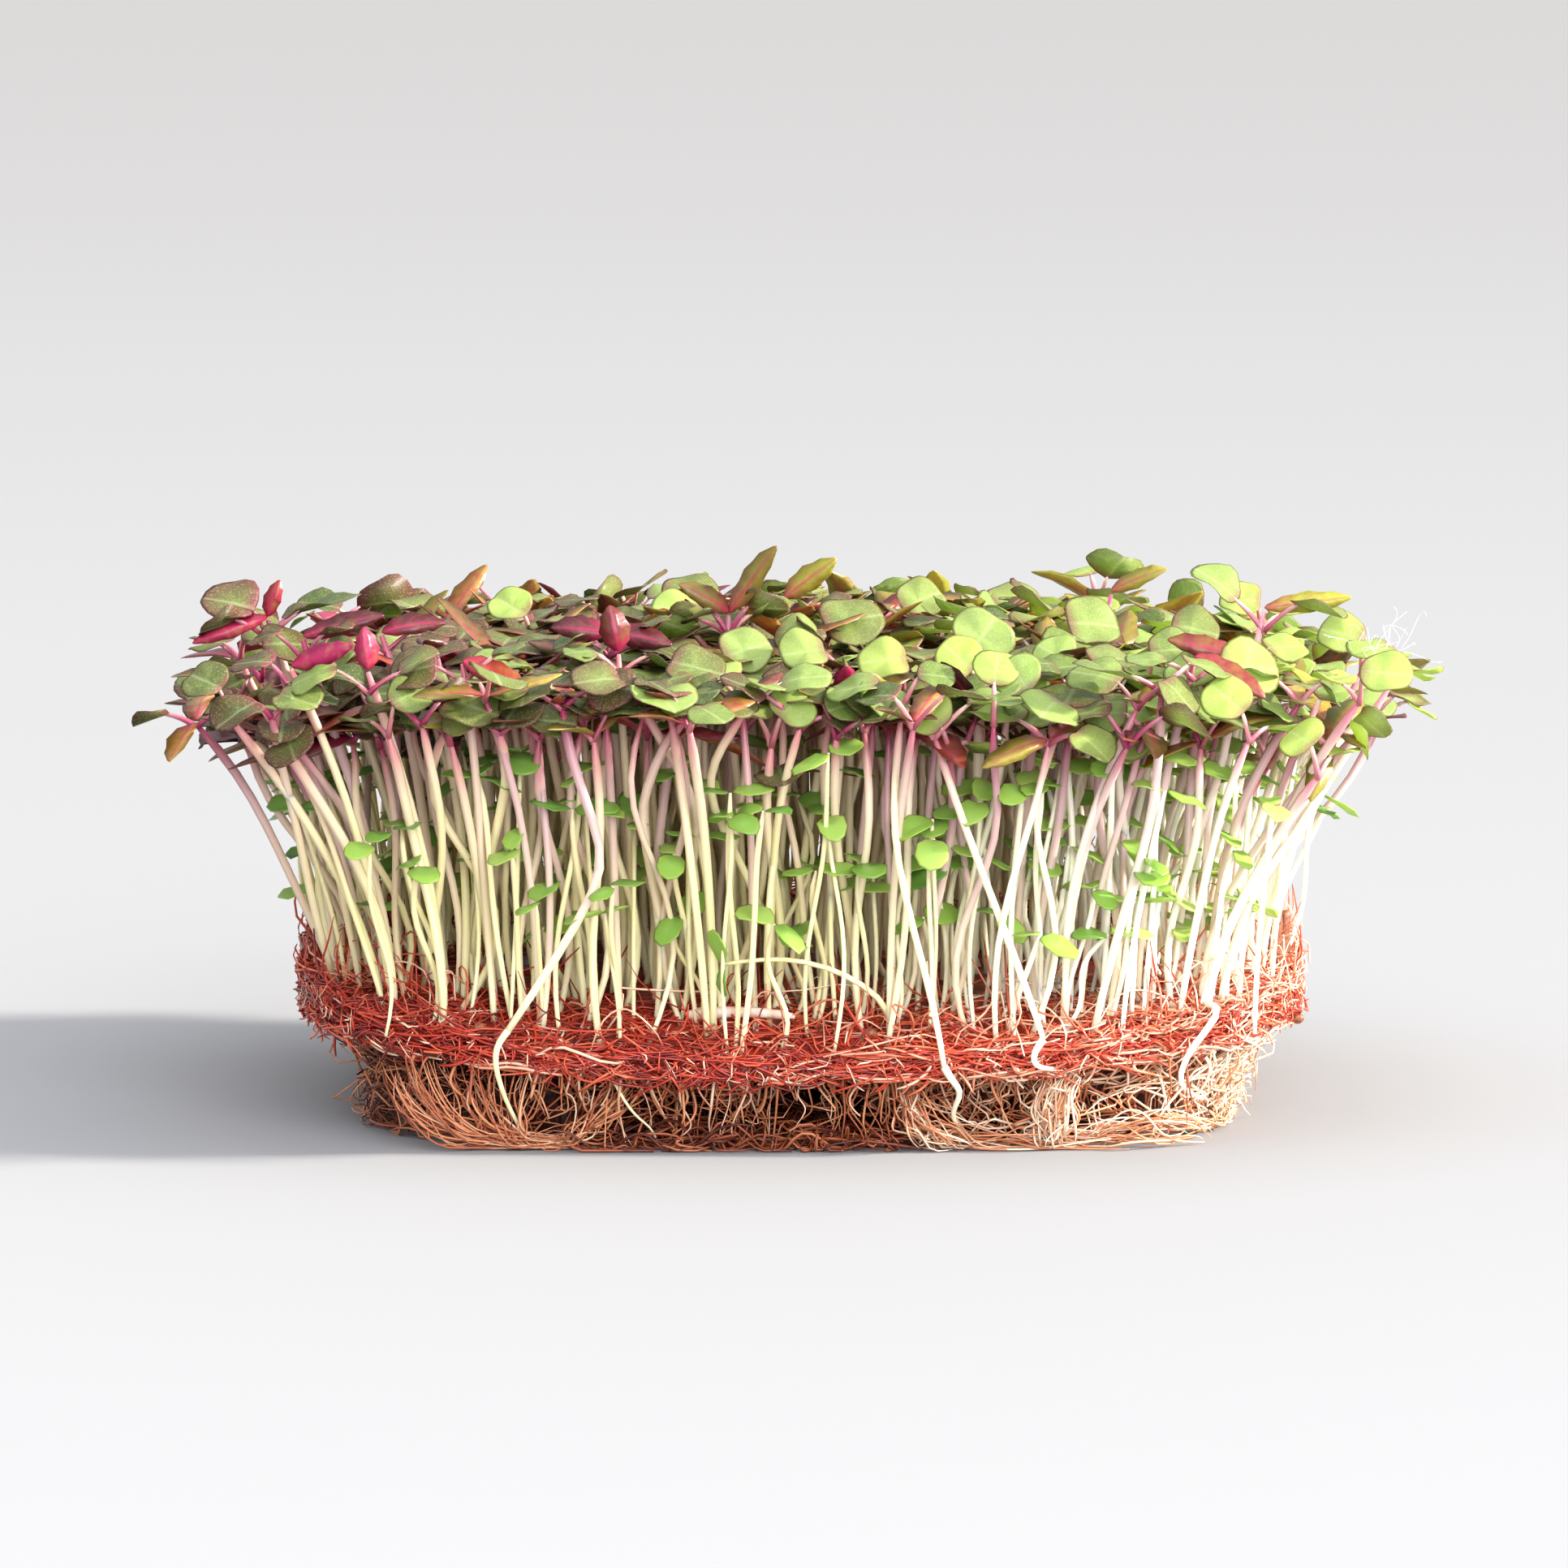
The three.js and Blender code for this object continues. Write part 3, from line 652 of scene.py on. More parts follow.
# Young true leaves that show: depth, then the place and seen height of the base and of the tip, the width,
# how light they are and how red.
SHOWN_YOUNG = [
    (-28, -8.3, 63.0, -2.7, 70.7, 4.4, 0.35, 0.35),
    (-28, -8.3, 63.0, -13.0, 66.5, 4.0, 0.3, 0.5),
    (4, -1.9, 65.3, 4.1, 70.0, 4.6, 0.62, 0.2),
    (-46, -20.9, 58.2, -21.8, 63.2, 4.9, 0.4, 1.0),
    (-52, -58.4, 56.4, -51.4, 58.8, 3.8, 1.0, 1.0),
    (-55, -49.6, 56.0, -49.8, 60.6, 4.0, 0.97, 1.0),
    (-54, -38.8, 57.0, -31.4, 53.9, 4.6, 0.6, 1.0),
    (-30, -61.0, 62.5, -69.5, 60.0, 3.4, 0.95, 1.0),
    (-30, -61.0, 62.5, -60.0, 66.5, 3.0, 0.9, 1.0),
    (-40, -57.0, 60.0, -48.0, 63.0, 4.2, 0.1, 1.0),
    (-40, -48.0, 60.5, -41.0, 62.5, 4.2, 0.2, 1.0),
    (-44, 50.0, 57.6, 42.0, 59.8, 4.2, 0.5, 0.9),
    (-50, 45.0, 57.6, 53.0, 53.6, 4.2, 0.52, 0.9),
    (0, 35.5, 66.0, 41.2, 69.2, 4.2, 0.6, 0.2),
    (-30, 53.0, 63.5, 63.0, 64.6, 3.6, 0.7, 0.1),
    (-35, -22.0, 60.5, -28.5, 61.5, 4.6, 0.15, 1.0),
    (-35, -22.0, 60.5, -15.5, 60.0, 4.6, 0.15, 1.0),
]
SIGHT = np.tan(np.radians(6.0))  # the line of sight drops by this share of the way back
FRONT = -54.0  # depth of the block's front
LEAF_FRONT = FRONT - 3  # the foremost leaves hang out over the edge
EYE_DISTANCE = 1150.0  # from the lens to the front
shown = np.array(SHOWN_LEAVES)
shown_across, shown_high, shown_wide, shown_tall, shown_green, shown_bronzed = shown.T
young = np.array(SHOWN_YOUNG)
young_depth, base_across, base_high, tip_across, tip_high, young_wide, young_light, young_red = young.T


def seen_at(across, depth, height):
    """A point at a depth that the eye sees at a place across and a height of the front."""
    further = 1 + (depth - FRONT) / EYE_DISTANCE
    return np.stack([across * further, depth, height - (depth - FRONT) * SIGHT], axis=-1)


CANOPY_FRONT = 55.5  # leaves that are seen higher than this stand further back
true_height = np.minimum(shown_high, CANOPY_FRONT + 0.35 * (shown_high - CANOPY_FRONT))
shown_middle = seen_at(shown_across, LEAF_FRONT + (shown_high - true_height) / SIGHT, shown_high)
to_side = np.where(draw(0, 1, len(shown)) < 0.5, -2.4, 2.4)
shown_fork = shown_middle + np.stack([to_side, draw(2, 4, len(shown)), draw(-5, -3.5, len(shown))], axis=-1)
young_base = seen_at(base_across, young_depth, base_high)
young_tip = seen_at(tip_across, young_depth - draw(0, 4, len(young)), tip_high)
shown_tips = np.concatenate([shown_fork, young_base - 0.4 * UP])
further_in = np.clip(shown_tips[:, :2] / (mat_half + 4), -1, 1) ** 2 * np.sign(shown_tips[:, :2])
shown_feet = shown_tips[:, :2] - further_in * draw(6, 15, (len(shown_tips), 1))
shown_feet = shown_feet / np.maximum(towards_rim(*plan(shown_feet)) / 0.95, 1)[:, None]

# The crowd leaves room where those heads show.
seen = np.stack([tips[:, 0], tips[:, 2] + (tips[:, 1] - FRONT) * SIGHT + 2.0], axis=-1)
apart = np.abs(seen[:, None, :] - shown[None, :, :2]) / np.array([4.6, 3.4])
hides = (np.linalg.norm(apart, axis=-1) < 1) & (tips[:, None, 1] < shown_middle[None, :, 1] + 3)
kept = ~hides.any(axis=1)
crowd_stems = stems_between(feet[kept], tips[kept], 1.5, 1.7)
shown_stems = stems_between(shown_feet, shown_tips, 1.6, 0.8)

# The front row, stem by stem: places across the front and heights above the floor, from the foot up.
FRONT_ROW = [
    [(-33.7, 14.4), (-27.7, 23.4), (-22.5, 32.3), (-23.0, 36.5), (-26.7, 46.0), (-27.4, 51.6)],
    [(-14.4, 17.6), (-13.0, 30.6), (-11.7, 37.3), (-12.0, 41.2), (-16.0, 47.6), (-18.7, 52.5)],
    [(-13.9, 16.7), (-16.0, 26.2), (-18.5, 38.4), (-18.3, 40.8), (-16.0, 47.5), (-13.2, 50.2)],
    [(-0.2, 17.4), (-5.0, 30.0), (-10.1, 39.4), (-10.8, 43.1), (-9.5, 46.9), (-6.5, 51.0)],
    [(-3.4, 17.1), (-3.6, 26.2), (-3.2, 34.0), (-2.6, 40.0), (-1.6, 44.5), (-0.1, 49.5)],
    [(7.0, 17.1), (5.9, 25.2), (4.4, 33.0), (3.7, 39.4), (3.8, 44.0), (4.0, 48.3)],
    [(16.4, 10.2), (15.2, 17.7), (12.2, 28.0), (10.6, 36.0), (10.5, 42.0), (11.5, 51.6)],
    [(27.8, 13.4), (25.9, 19.0), (23.6, 25.2), (20.3, 33.7), (17.6, 41.0), (15.2, 48.3)],
    [(30.5, 14.0), (30.0, 25.2), (31.4, 33.0), (33.3, 39.4), (35.8, 46.0), (38.5, 51.6)],
    [(33.3, 13.0), (36.1, 25.2), (38.6, 33.0), (40.3, 39.4), (41.0, 46.0), (41.2, 53.5)],
    [(-53.5, 19.5), (-56.0, 28.0), (-57.2, 35.0), (-58.6, 41.0), (-60.0, 47.0), (-60.7, 50.7)],
    [(-43.5, 18.5), (-42.0, 27.0), (-41.0, 34.0), (-41.2, 39.4), (-42.4, 45.0), (-43.5, 49.7)],
    [(-38.0, 18.5), (-37.4, 26.2), (-35.6, 35.0), (-33.9, 42.0), (-33.7, 45.1), (-34.6, 48.8)],
]
front_line = bend(np.array(FRONT_ROW, dtype=float), STEM_POINTS)
depths = np.linspace(-55.4, -20, 150)
foot_x, foot_seen = front_line[:, 0, 0], front_line[:, 0, 1]
met = mat_top(foot_x[:, None], depths) >= foot_seen[:, None] - (depths - FRONT) * SIGHT
met = met & (towards_rim(foot_x[:, None], depths) < 0.97)
foot_depth = depths[np.argmax(met, axis=1)]  # where the line of sight to the foot meets the mat
OVER_THE_EDGE = [0, 6, 7]  # stems that slipped out and hang over the mat's front edge
hangs = np.isin(np.arange(len(FRONT_ROW)), OVER_THE_EDGE)
foot_depth = np.where(hangs, FRONT - 3.2, foot_depth)
depth = foot_depth[:, None] + (LEAF_FRONT - foot_depth)[:, None] * rise**0.8
front_stems = seen_at(front_line[..., 0], depth, front_line[..., 1])
sunk = np.minimum(front_stems[:, 0, 2], mat_top(foot_x, foot_depth) - 0.5)
front_stems[:, 0, 2] = np.where(hangs, front_stems[:, 0, 2], sunk)

# Stem skin: smooth, waxy and full of water, so light glows in it. Its colour changes with the growth, and
# the stems at the right end are painted almost white, as painted sunlight.
juicy_stem, tree, shader = new_material("juicy_stem_skin")
place = add_node(tree, "TexCoord", {}, "Object")
across_value = add_node(tree, "SeparateXYZ", {"Vector": place})
# Painted sunlight: stems towards the right end are mixed to near white.
painted_sun_right = add_node(tree, "MapRange", {"Value": across_value, "From Min": 2 * MM, "From Max": 38 * MM})
along_value = add_node(tree, "Attribute", {}, "Fac", attribute_name="along")
flush_value = add_node(tree, "Attribute", {}, "Fac", attribute_name="flush")
PLAIN_STEM = [(0.0, "#f1e8ba"), (0.35, "#e7dea2"), (0.8, "#e4d0ae"), (0.97, "#bd7478")]
SUNLIT_WHITE_STEM = [(0.0, "#fbfaee"), (0.5, "#f4f5e0"), (0.85, "#ecdccb"), (0.97, "#c9808c")]
MAUVE_STEM = [(0.0, "#ebe2ba"), (0.3, "#dcc6b0"), (0.75, "#c09a9e"), (0.97, "#932850")]
STEM_COLOURS = (PLAIN_STEM, SUNLIT_WHITE_STEM, MAUVE_STEM)
plain, white, mauve = (add_node(tree, "ValToRGB", {"Fac": along_value}, stops=row) for row in STEM_COLOURS)
COLOUR_MIX = {"out": 2, "data_type": "RGBA"}  # inputs 6 and 7 are the colours, 0 the second one's share
unflushed = add_node(tree, "Mix", {0: painted_sun_right, 6: plain, 7: white}, **COLOUR_MIX)
colour = add_node(tree, "Mix", {0: flush_value, 6: unflushed, 7: mauve}, **COLOUR_MIX)
set_inputs(
    shader,
    {
        "Base Color": colour,
        "Roughness": 0.38,
        "Subsurface Weight": 0.5,
        "Subsurface Scale": 0.8 * MM,
        "Subsurface Radius": (1.0, 0.8, 0.45),
    },
)


def add_stems(name, paths, thin, thick, flush, ripe=1.0):
    """A piece of stems: round sections on each path, slim at the foot and drawn in at the tip. The colour
    goes on to the share of its way that ripe says."""
    girth = 0.75 + 0.2 * step_between(0, 0.2, rise) + 0.15 * rise
    girth = np.where(rise == 1, 0.55, girth)
    radii = draw(thin, thick, len(paths))[:, None] * girth
    return loft(
        name,
        tube_rings(paths, radii, 6),
        juicy_stem,
        "stem",
        along=ripe * rise[None, :, None],
        flush=flush[:, None, None],
    )


def redness(x):
    """How red a seedling is, from its place across the block: most on the left, least on the right."""
    return np.clip(0.62 - 0.34 * x / mat_half[0] + chance.normal(0, 0.24, len(x)), 0, 1)


def flush_of(red):
    """How mauve a stem is: some stems are flushed, more of them where the leaves are red."""
    flushed = draw(0, 1, len(red)) < 0.25 + 0.35 * red
    return np.where(flushed, draw(0.5, 1.0, len(red)), draw(0, 0.25, len(red)))


edge_red = redness(edge_stems[:, 0, 0])
crowd_red = redness(crowd_stems[:, 0, 0])
front_red = redness(front_stems[:, 0, 0])
shown_red = redness(shown_stems[:, 0, 0])
stems_edge = add_stems("stems_edge", edge_stems, 0.44, 0.6, flush_of(edge_red))
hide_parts(*EDGE_NODES)
# Painted light: fewer mauve stems inside the block stand for the green light that comes through the leaves.
crowd_flush = flush_of(crowd_red) * np.where(near_edge[kept] < 0.8, 0.35, 1.0)  # paler inside the block
stems_crowd = add_stems("stems_crowd", crowd_stems, 0.35, 0.54, crowd_flush)
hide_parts("inner_sprouts")
forward = np.concatenate([front_stems, shown_stems])
add_stems("stems_front_row", forward, 0.44, 0.58, flush_of(np.concatenate([front_red, shown_red])))

# Seed leaves
# The first pair of each seedling: thick, round to kidney-shaped blades, sage to yellow-green, some bronzed.
# They spread almost level on short magenta stalks that part at the stem's tip, and hang out at the edge.
RING_SIZE = np.array([0.05, 0.88, 1.0, 0.05])  # rings of a blade: two of the upper face, rim, lower face
RING_FACE = np.array([1.0, 0.8, 0.0, -1.0])  # towards the upper face
LEAF_SIDES = 18
SHOWN_SIDES = 32  # leaves that stand out in front have a finer outline


def laid_out(base, heading, normal, along, over, lift, length, fold, droop):
    """Points of leaf blades from their places along the midrib, over to its side and lifted to a face.
    The midrib droops by the square of the way along, and the halves fold up from it and ruffle."""
    side = np.cross(normal, heading)
    run = along / length[:, None, None]
    ruffle = 0.12 * np.sin(7 * run + draw(0, 6.3, (len(base), 1, 1)))
    up = lift + np.abs(over) * (fold[:, None, None] + ruffle) - droop[:, None, None] * along * run
    steps = [(heading, along), (side, over), (normal, up)]
    reach = sum(axis[:, None, None, :] * amount[..., None] for axis, amount in steps)
    return base[:, None, None, :] + reach


def round_blades(base, heading, normal, length, width, notch, thickness, sides):
    """Round leaf blades as closed thin shells: rings of one outline grow from the middle of the upper face
    to the rim and shrink back under it. The outline is an ellipse, drawn in at its foot and less at its
    tip by bell curves of the angle from the midrib, so it is kidney-shaped."""
    count = len(base)
    angle = np.arange(sides) * 2 * np.pi / sides
    from_tip = np.minimum(angle, 2 * np.pi - angle)
    from_foot = np.pi - from_tip
    dent = notch[:, None] * (np.exp(-((from_foot / 0.5) ** 2)) - 0.4 * np.exp(-((from_tip / 0.45) ** 2)))
    edge = (0.5 + 0.5 * np.cos(angle) + dent)[:, None, :]
    broad = 1 + draw(-0.2, 0.2, (count, 1, 1)) * np.cos(angle)  # broader towards the tip or the foot
    along = length[:, None, None] * (0.45 + (edge - 0.45) * RING_SIZE[:, None])
    over = -0.5 * width[:, None, None] * np.sin(angle) * broad * RING_SIZE[:, None]
    lift = 0.5 * thickness * RING_FACE[:, None] + 0 * along
    fold, droop = draw(-0.02, 0.28, count), draw(-0.05, 0.22, count)
    return laid_out(base, heading, normal, along, over, lift, length, fold, droop)


def let_light_through(tree, shader, colour, share):
    """Mixes a share of light that passes through the blade into a leaf's shader."""
    through = add_node(tree, "BsdfTranslucent", {"Color": colour})
    both = add_node(tree, "MixShader", {0: share, 1: shader.outputs["BSDF"], 2: through})
    set_inputs(tree.nodes["Material Output"], {"Surface": both})


# Seed leaf skin: soft satin green with a fine grain that is painted silvery, a painted sheen, and that lets
# light through. It has a faint paler midrib, a bronze flush, a thin dark rim and a pink foot where the
# stalk joins.
soft_leaf, tree, shader = new_material("soft_green_seed_leaf")
place = add_node(tree, "TexCoord", {}, "Object")
SEED_LEAF_VALUES = ("shade", "red", "rim", "over", "along")
shade_value, red_value, rim_value, over_value, foot_value = (
    add_node(tree, "Attribute", {}, "Fac", attribute_name=name) for name in SEED_LEAF_VALUES
)
GREENS = [(0.0, "#586c2e"), (0.3, "#869c4a"), (0.6, "#a8c066"), (1.0, "#bed264")]
LEAF_MOTTLE = 0.9
mottle = add_node(tree, "TexNoise", {"Vector": place, "Scale": 1 / (LEAF_MOTTLE * MM), "Detail": 4.0})
mottled = add_node(tree, "Math", {0: mottle, 1: 0.3, 2: shade_value}, operation="MULTIPLY_ADD")
settled = add_node(tree, "Math", {0: mottled, 1: 0.15}, operation="SUBTRACT", use_clamp=True)
green = add_node(tree, "ValToRGB", {"Fac": settled}, stops=GREENS)
bronze = add_node(
    tree, "MapRange", {"Value": rim_value, "From Min": 0.1, "From Max": 1.0, "To Min": 0.2, "To Max": 1.0}
)
bronze_share = add_node(tree, "Math", {0: bronze, 1: red_value}, operation="MULTIPLY", use_clamp=True)
flushed = add_node(tree, "Mix", {0: bronze_share, 6: green, 7: linear("#75463a")}, **COLOUR_MIX)
beside = add_node(tree, "Math", {0: over_value}, operation="ABSOLUTE")
LEAF_GRAIN = 0.22
# The fine grain gives a bump and a silvery painted sheen.
grain_and_painted_sheen = add_node(tree, "TexNoise", {"Vector": place, "Scale": 1 / (LEAF_GRAIN * MM)})
TINTS = [
    # the value that a tint follows, where it begins and where it is full, its greatest share and its colour
    (rim_value, 0.92, 0.99, 0.5, "#7c3f36"),  # dark rim
    (beside, 0.1, 0.02, 0.3, "#d6dfa6"),  # pale midrib
    (foot_value, 0.3, 0.08, 0.55, "#9c4a58"),  # pink foot
    (grain_and_painted_sheen, 0.5, 0.75, 0.35, "#d3dcb4"),  # painted sheen: the grain painted silvery
]
colour = flushed
for value, low, high, most, tint in TINTS:
    amount = add_node(tree, "MapRange", {"Value": value, "From Min": low, "From Max": high, "To Max": most})
    colour = add_node(tree, "Mix", {0: amount, 6: colour, 7: linear(tint)}, **COLOUR_MIX)
bump = add_node(tree, "Bump", {"Height": grain_and_painted_sheen, "Strength": 0.3, "Distance": 0.1 * MM})
set_inputs(shader, {"Normal": bump, "Base Color": colour, "Roughness": 0.42, "Specular IOR Level": 0.4})
let_light_through(tree, shader, colour, 0.52)


def square_to(axes, vectors):
    """Vectors turned square to axes of length one, and made length one themselves."""
    return unit(vectors - axes * (vectors * axes).sum(axis=-1, keepdims=True))


def facing(heading_angle, away, tilt, rough):
    """A blade's heading and normal: the normal is upright, leans away from the block by tilt and a random
    amount, and the heading is the compass direction laid in the blade's plane."""
    lean = raised(away * tilt[:, None], np.ones(len(tilt)))
    normal = unit(lean + chance.normal(0, rough, lean.shape))
    return square_to(normal, compass(heading_angle)), normal


def away_from_middle(spots):
    """Outward directions and how near the rim each spot is, from 0 in the middle to 1 and more."""
    flat = spots[:, :2] / mat_half
    return unit(flat), np.linalg.norm(flat, axis=1)


def for_both(values):
    """Values for both leaves of each pair: the first leaves of all pairs, then the second ones."""
    return np.concatenate([values, values])


def seed_leaf_pairs(tips, angle):
    """Random seed leaf pairs at stem tips: the tip, blade base, heading, normal and size of each leaf."""
    turned = np.concatenate([angle, angle + np.pi])
    tip = for_both(tips)
    count = len(tip)
    away, near = away_from_middle(tip)
    heading, normal = facing(turned, away, draw(0, 0.45, count) * np.clip(near, 0, 1.2) ** 2, 0.26)
    base = tip + compass(turned) * draw(1.2, 3.6, (count, 1)) + UP * draw(1.2, 3.8, (count, 1))
    return tip, base, heading, normal, draw(5.0, 8.4, count)


def add_seed_leaves(name, leaves, shade, red, sides=LEAF_SIDES):
    """A piece of seed leaves and a piece of their stalks, quadratic curves that leave the stem's tip
    upwards and bend over to the blade's foot."""
    tip, base, heading, normal, size = leaves
    count = len(tip)
    length = size * draw(0.78, 1.0, count)
    notch = draw(0.02, 0.12, count)
    rings = round_blades(base, heading, normal, length, size, notch, thickness=0.3, sides=sides)
    leaf_turn = np.arange(sides) * 2 * np.pi / sides
    leaves = loft(
        name,
        rings,
        soft_leaf,
        "leaf",
        shade=shade[:, None, None],
        red=red[:, None, None],
        rim=RING_SIZE[None, :, None],
        over=(RING_SIZE[:, None] * np.sin(leaf_turn))[None],
        along=(0.5 + 0.5 * RING_SIZE[:, None] * np.cos(leaf_turn))[None],
    )
    start = tip - 0.3 * UP
    end = base + heading * (notch * length + 0.4)[:, None]
    middle = 0.5 * (start + end) + 0.6 * UP
    paths = curved(start, middle, end, 5)
    radii = draw(0.24, 0.36, count)[:, None] * np.array([1.35, 1.1, 1.0, 0.9, 0.6])
    loft(
        name + "_stalks",
        tube_rings(paths, radii, 5),
        juicy_stem,
        "stem",
        along=np.array([0.99, 0.97, 0.95, 0.9, 0.84])[None, :, None],
        flush=np.clip(0.9 * red + draw(0, 0.6, count), 0, 1)[:, None, None],
    )
    return leaves


def shade_of(leaves):
    """How yellow and light each leaf's green is: random, and more so to the right, as painted sunlight."""
    tip = leaves[0]
    # Painted sunlight: leaves are lighter and yellower towards the sunlit right end.
    return np.clip(0.4 + 0.3 * tip[:, 0] / mat_half[0] + chance.normal(0, 0.24, len(tip)), 0, 1)


def bronze_of(red):
    """How bronzed each of a pair of seed leaves is: not at all, or by the redness of its seedling."""
    twice = for_both(red)
    return np.where(draw(0, 1, len(twice)) < 0.3 + 0.55 * twice, twice, 0.1 * twice)


edge_away, _ = away_from_middle(edge_stems[:, -1])
edge_angle = np.arctan2(edge_away[:, 1], edge_away[:, 0]) + np.pi / 4
edge_leaves = seed_leaf_pairs(edge_stems[:, -1], edge_angle)
HEAD_NODES = [f"leaf_head_{number:02d}" for number in range(1, 19)]
edge_shade = shade_of(edge_leaves)
seed_leaves_edge = add_seed_leaves("seed_leaves_edge", edge_leaves, edge_shade, bronze_of(edge_red))
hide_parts(*HEAD_NODES)

CROWD = len(crowd_stems)
crowd_angle = draw(0, 2 * np.pi, CROWD)
crowd_leaves = seed_leaf_pairs(crowd_stems[:, -1], crowd_angle)
add_seed_leaves("seed_leaves_crowd", crowd_leaves, shade_of(crowd_leaves), bronze_of(crowd_red))

front_angle = draw(-0.7, 0.7, len(FRONT_ROW))
front_leaves = seed_leaf_pairs(front_stems[:, -1], front_angle)
add_seed_leaves("seed_leaves_front_row", front_leaves, shade_of(front_leaves), bronze_of(front_red))

# A shown leaf faces the eye as far as it is seen open. Its twin lies behind the fork.
eye = unit(np.array([0.0, -1.0, SIGHT]))
openness = np.clip(shown_tall / shown_wide / 0.85, 0.2, 0.95)[:, None]
normal = unit(openness * eye + np.sqrt(1 - openness**2) * UP + chance.normal(0, 0.08, (len(shown), 3)))
toward = shown_middle - shown_fork
heading = square_to(normal, toward)
shown_base = shown_middle - heading * 0.44 * shown_wide[:, None]
twin_angle = np.arctan2(-toward[:, 1], -toward[:, 0])
twin_heading, twin_normal = facing(twin_angle, np.zeros((len(shown), 2)), np.zeros(len(shown)), 0.2)
twin_base = shown_fork + twin_heading * 2.5 + UP * 1.5
shown_pairs = (
    for_both(shown_fork),
    np.concatenate([shown_base, twin_base]),
    np.concatenate([heading, twin_heading]),
    np.concatenate([normal, twin_normal]),
    np.concatenate([shown_wide, 0.9 * shown_wide]),
)
shown_shade = for_both(shown_green)
add_seed_leaves("seed_leaves_shown", shown_pairs, shown_shade, for_both(shown_bronzed), SHOWN_SIDES)
# Young leaves that show far back stand higher above their fork.
young_fork = young_base - UP * np.where(young_depth[:, None] > -20, 5.0, 2.5)
young_pairs = seed_leaf_pairs(young_fork, draw(-0.5, 0.5, len(young)))
young_bronze = bronze_of(redness(young_base[:, 0]))
add_seed_leaves("seed_leaves_young", young_pairs, shade_of(young_pairs), young_bronze)

# True leaves
# The next pair, across the seed leaves: pointed, toothed blades, bronze to maroon over olive green, with a
# magenta midrib and side veins. They rise from the bud between the seed leaf stalks.
SECTION = np.array([1.0, 0.0, -1.0, -0.5, 0.0, 0.5])  # across a blade, upper face then lower
FACE = np.array([0.0, 1.0, 0.0, -0.75, -1.0, -0.75])  # towards the upper face
TRUE_SECTIONS = 11
along_blade = 0.5 - 0.5 * np.cos(np.pi * np.linspace(0.02, 0.99, TRUE_SECTIONS))
teeth = np.where(np.arange(TRUE_SECTIONS) % 2 == 0, 0.92, 1.08)
TRUE_LEAF_SHAPE = 1.9 * along_blade**0.7 * (1 - along_blade) ** 0.75 * teeth + 0.03

# True leaf skin: thin and faintly quilted, dark maroon where the light made it so, with magenta veins.
maroon_leaf, tree, shader = new_material("maroon_true_leaf")
place = add_node(tree, "TexCoord", {}, "Object")
TRUE_LEAF_VALUES = ("red", "shade", "vein", "rim", "along")
red_value, shade_value, vein_value, rim_value, foot_value = (
    add_node(tree, "Attribute", {}, "Fac", attribute_name=name) for name in TRUE_LEAF_VALUES
)
OLIVES = [(0.0, "#77752f"), (0.5, "#a3a23c"), (1.0, "#cdd24a")]
MAROONS = [(0.0, "#4a1e28"), (0.45, "#7a3032"), (0.75, "#a8492a"), (0.9, "#a2333c"), (1.0, "#a82458")]
olive = add_node(tree, "ValToRGB", {"Fac": shade_value}, stops=OLIVES)
maroon = add_node(tree, "ValToRGB", {"Fac": shade_value}, stops=MAROONS)
QUILT = 1.2
quilt = add_node(tree, "TexNoise", {"Vector": place, "Scale": 1 / (QUILT * MM)})
patchy = add_node(tree, "Math", {0: quilt, 1: 0.8, 2: red_value}, operation="MULTIPLY_ADD")
patches = add_node(tree, "Math", {0: patchy, 1: 0.4}, operation="SUBTRACT", use_clamp=True)
ground = add_node(tree, "Mix", {0: patches, 6: olive, 7: maroon}, **COLOUR_MIX)
wave = add_node(tree, "Math", {0: vein_value}, operation="SINE")
side_vein = add_node(tree, "MapRange", {"Value": wave, "From Min": 0.86, "From Max": 0.98, "To Max": 0.6})
mid_vein = add_node(tree, "MapRange", {"Value": rim_value, "From Min": 0.2, "From Max": 0.06})
vein = add_node(tree, "Math", {0: side_vein, 1: mid_vein}, operation="MAXIMUM")
fading = add_node(tree, "MapRange", {"Value": foot_value, "From Max": 0.9, "To Min": 0.95, "To Max": 0.25})
faded = add_node(tree, "Math", {0: vein, 1: fading}, operation="MULTIPLY")
foot_flush = add_node(
    tree, "MapRange", {"Value": foot_value, "From Max": 0.4, "To Min": 0.75, "To Max": 0.0}
)
vein_share = add_node(tree, "Math", {0: faded, 1: foot_flush}, operation="MAXIMUM")
colour = add_node(tree, "Mix", {0: vein_share, 6: ground, 7: linear("#bb2454")}, **COLOUR_MIX)
bump = add_node(tree, "Bump", {"Height": quilt, "Strength": 0.35, "Distance": 0.25 * MM})
set_inputs(shader, {"Normal": bump, "Base Color": colour, "Roughness": 0.36})
let_light_through(tree, shader, colour, 0.35)


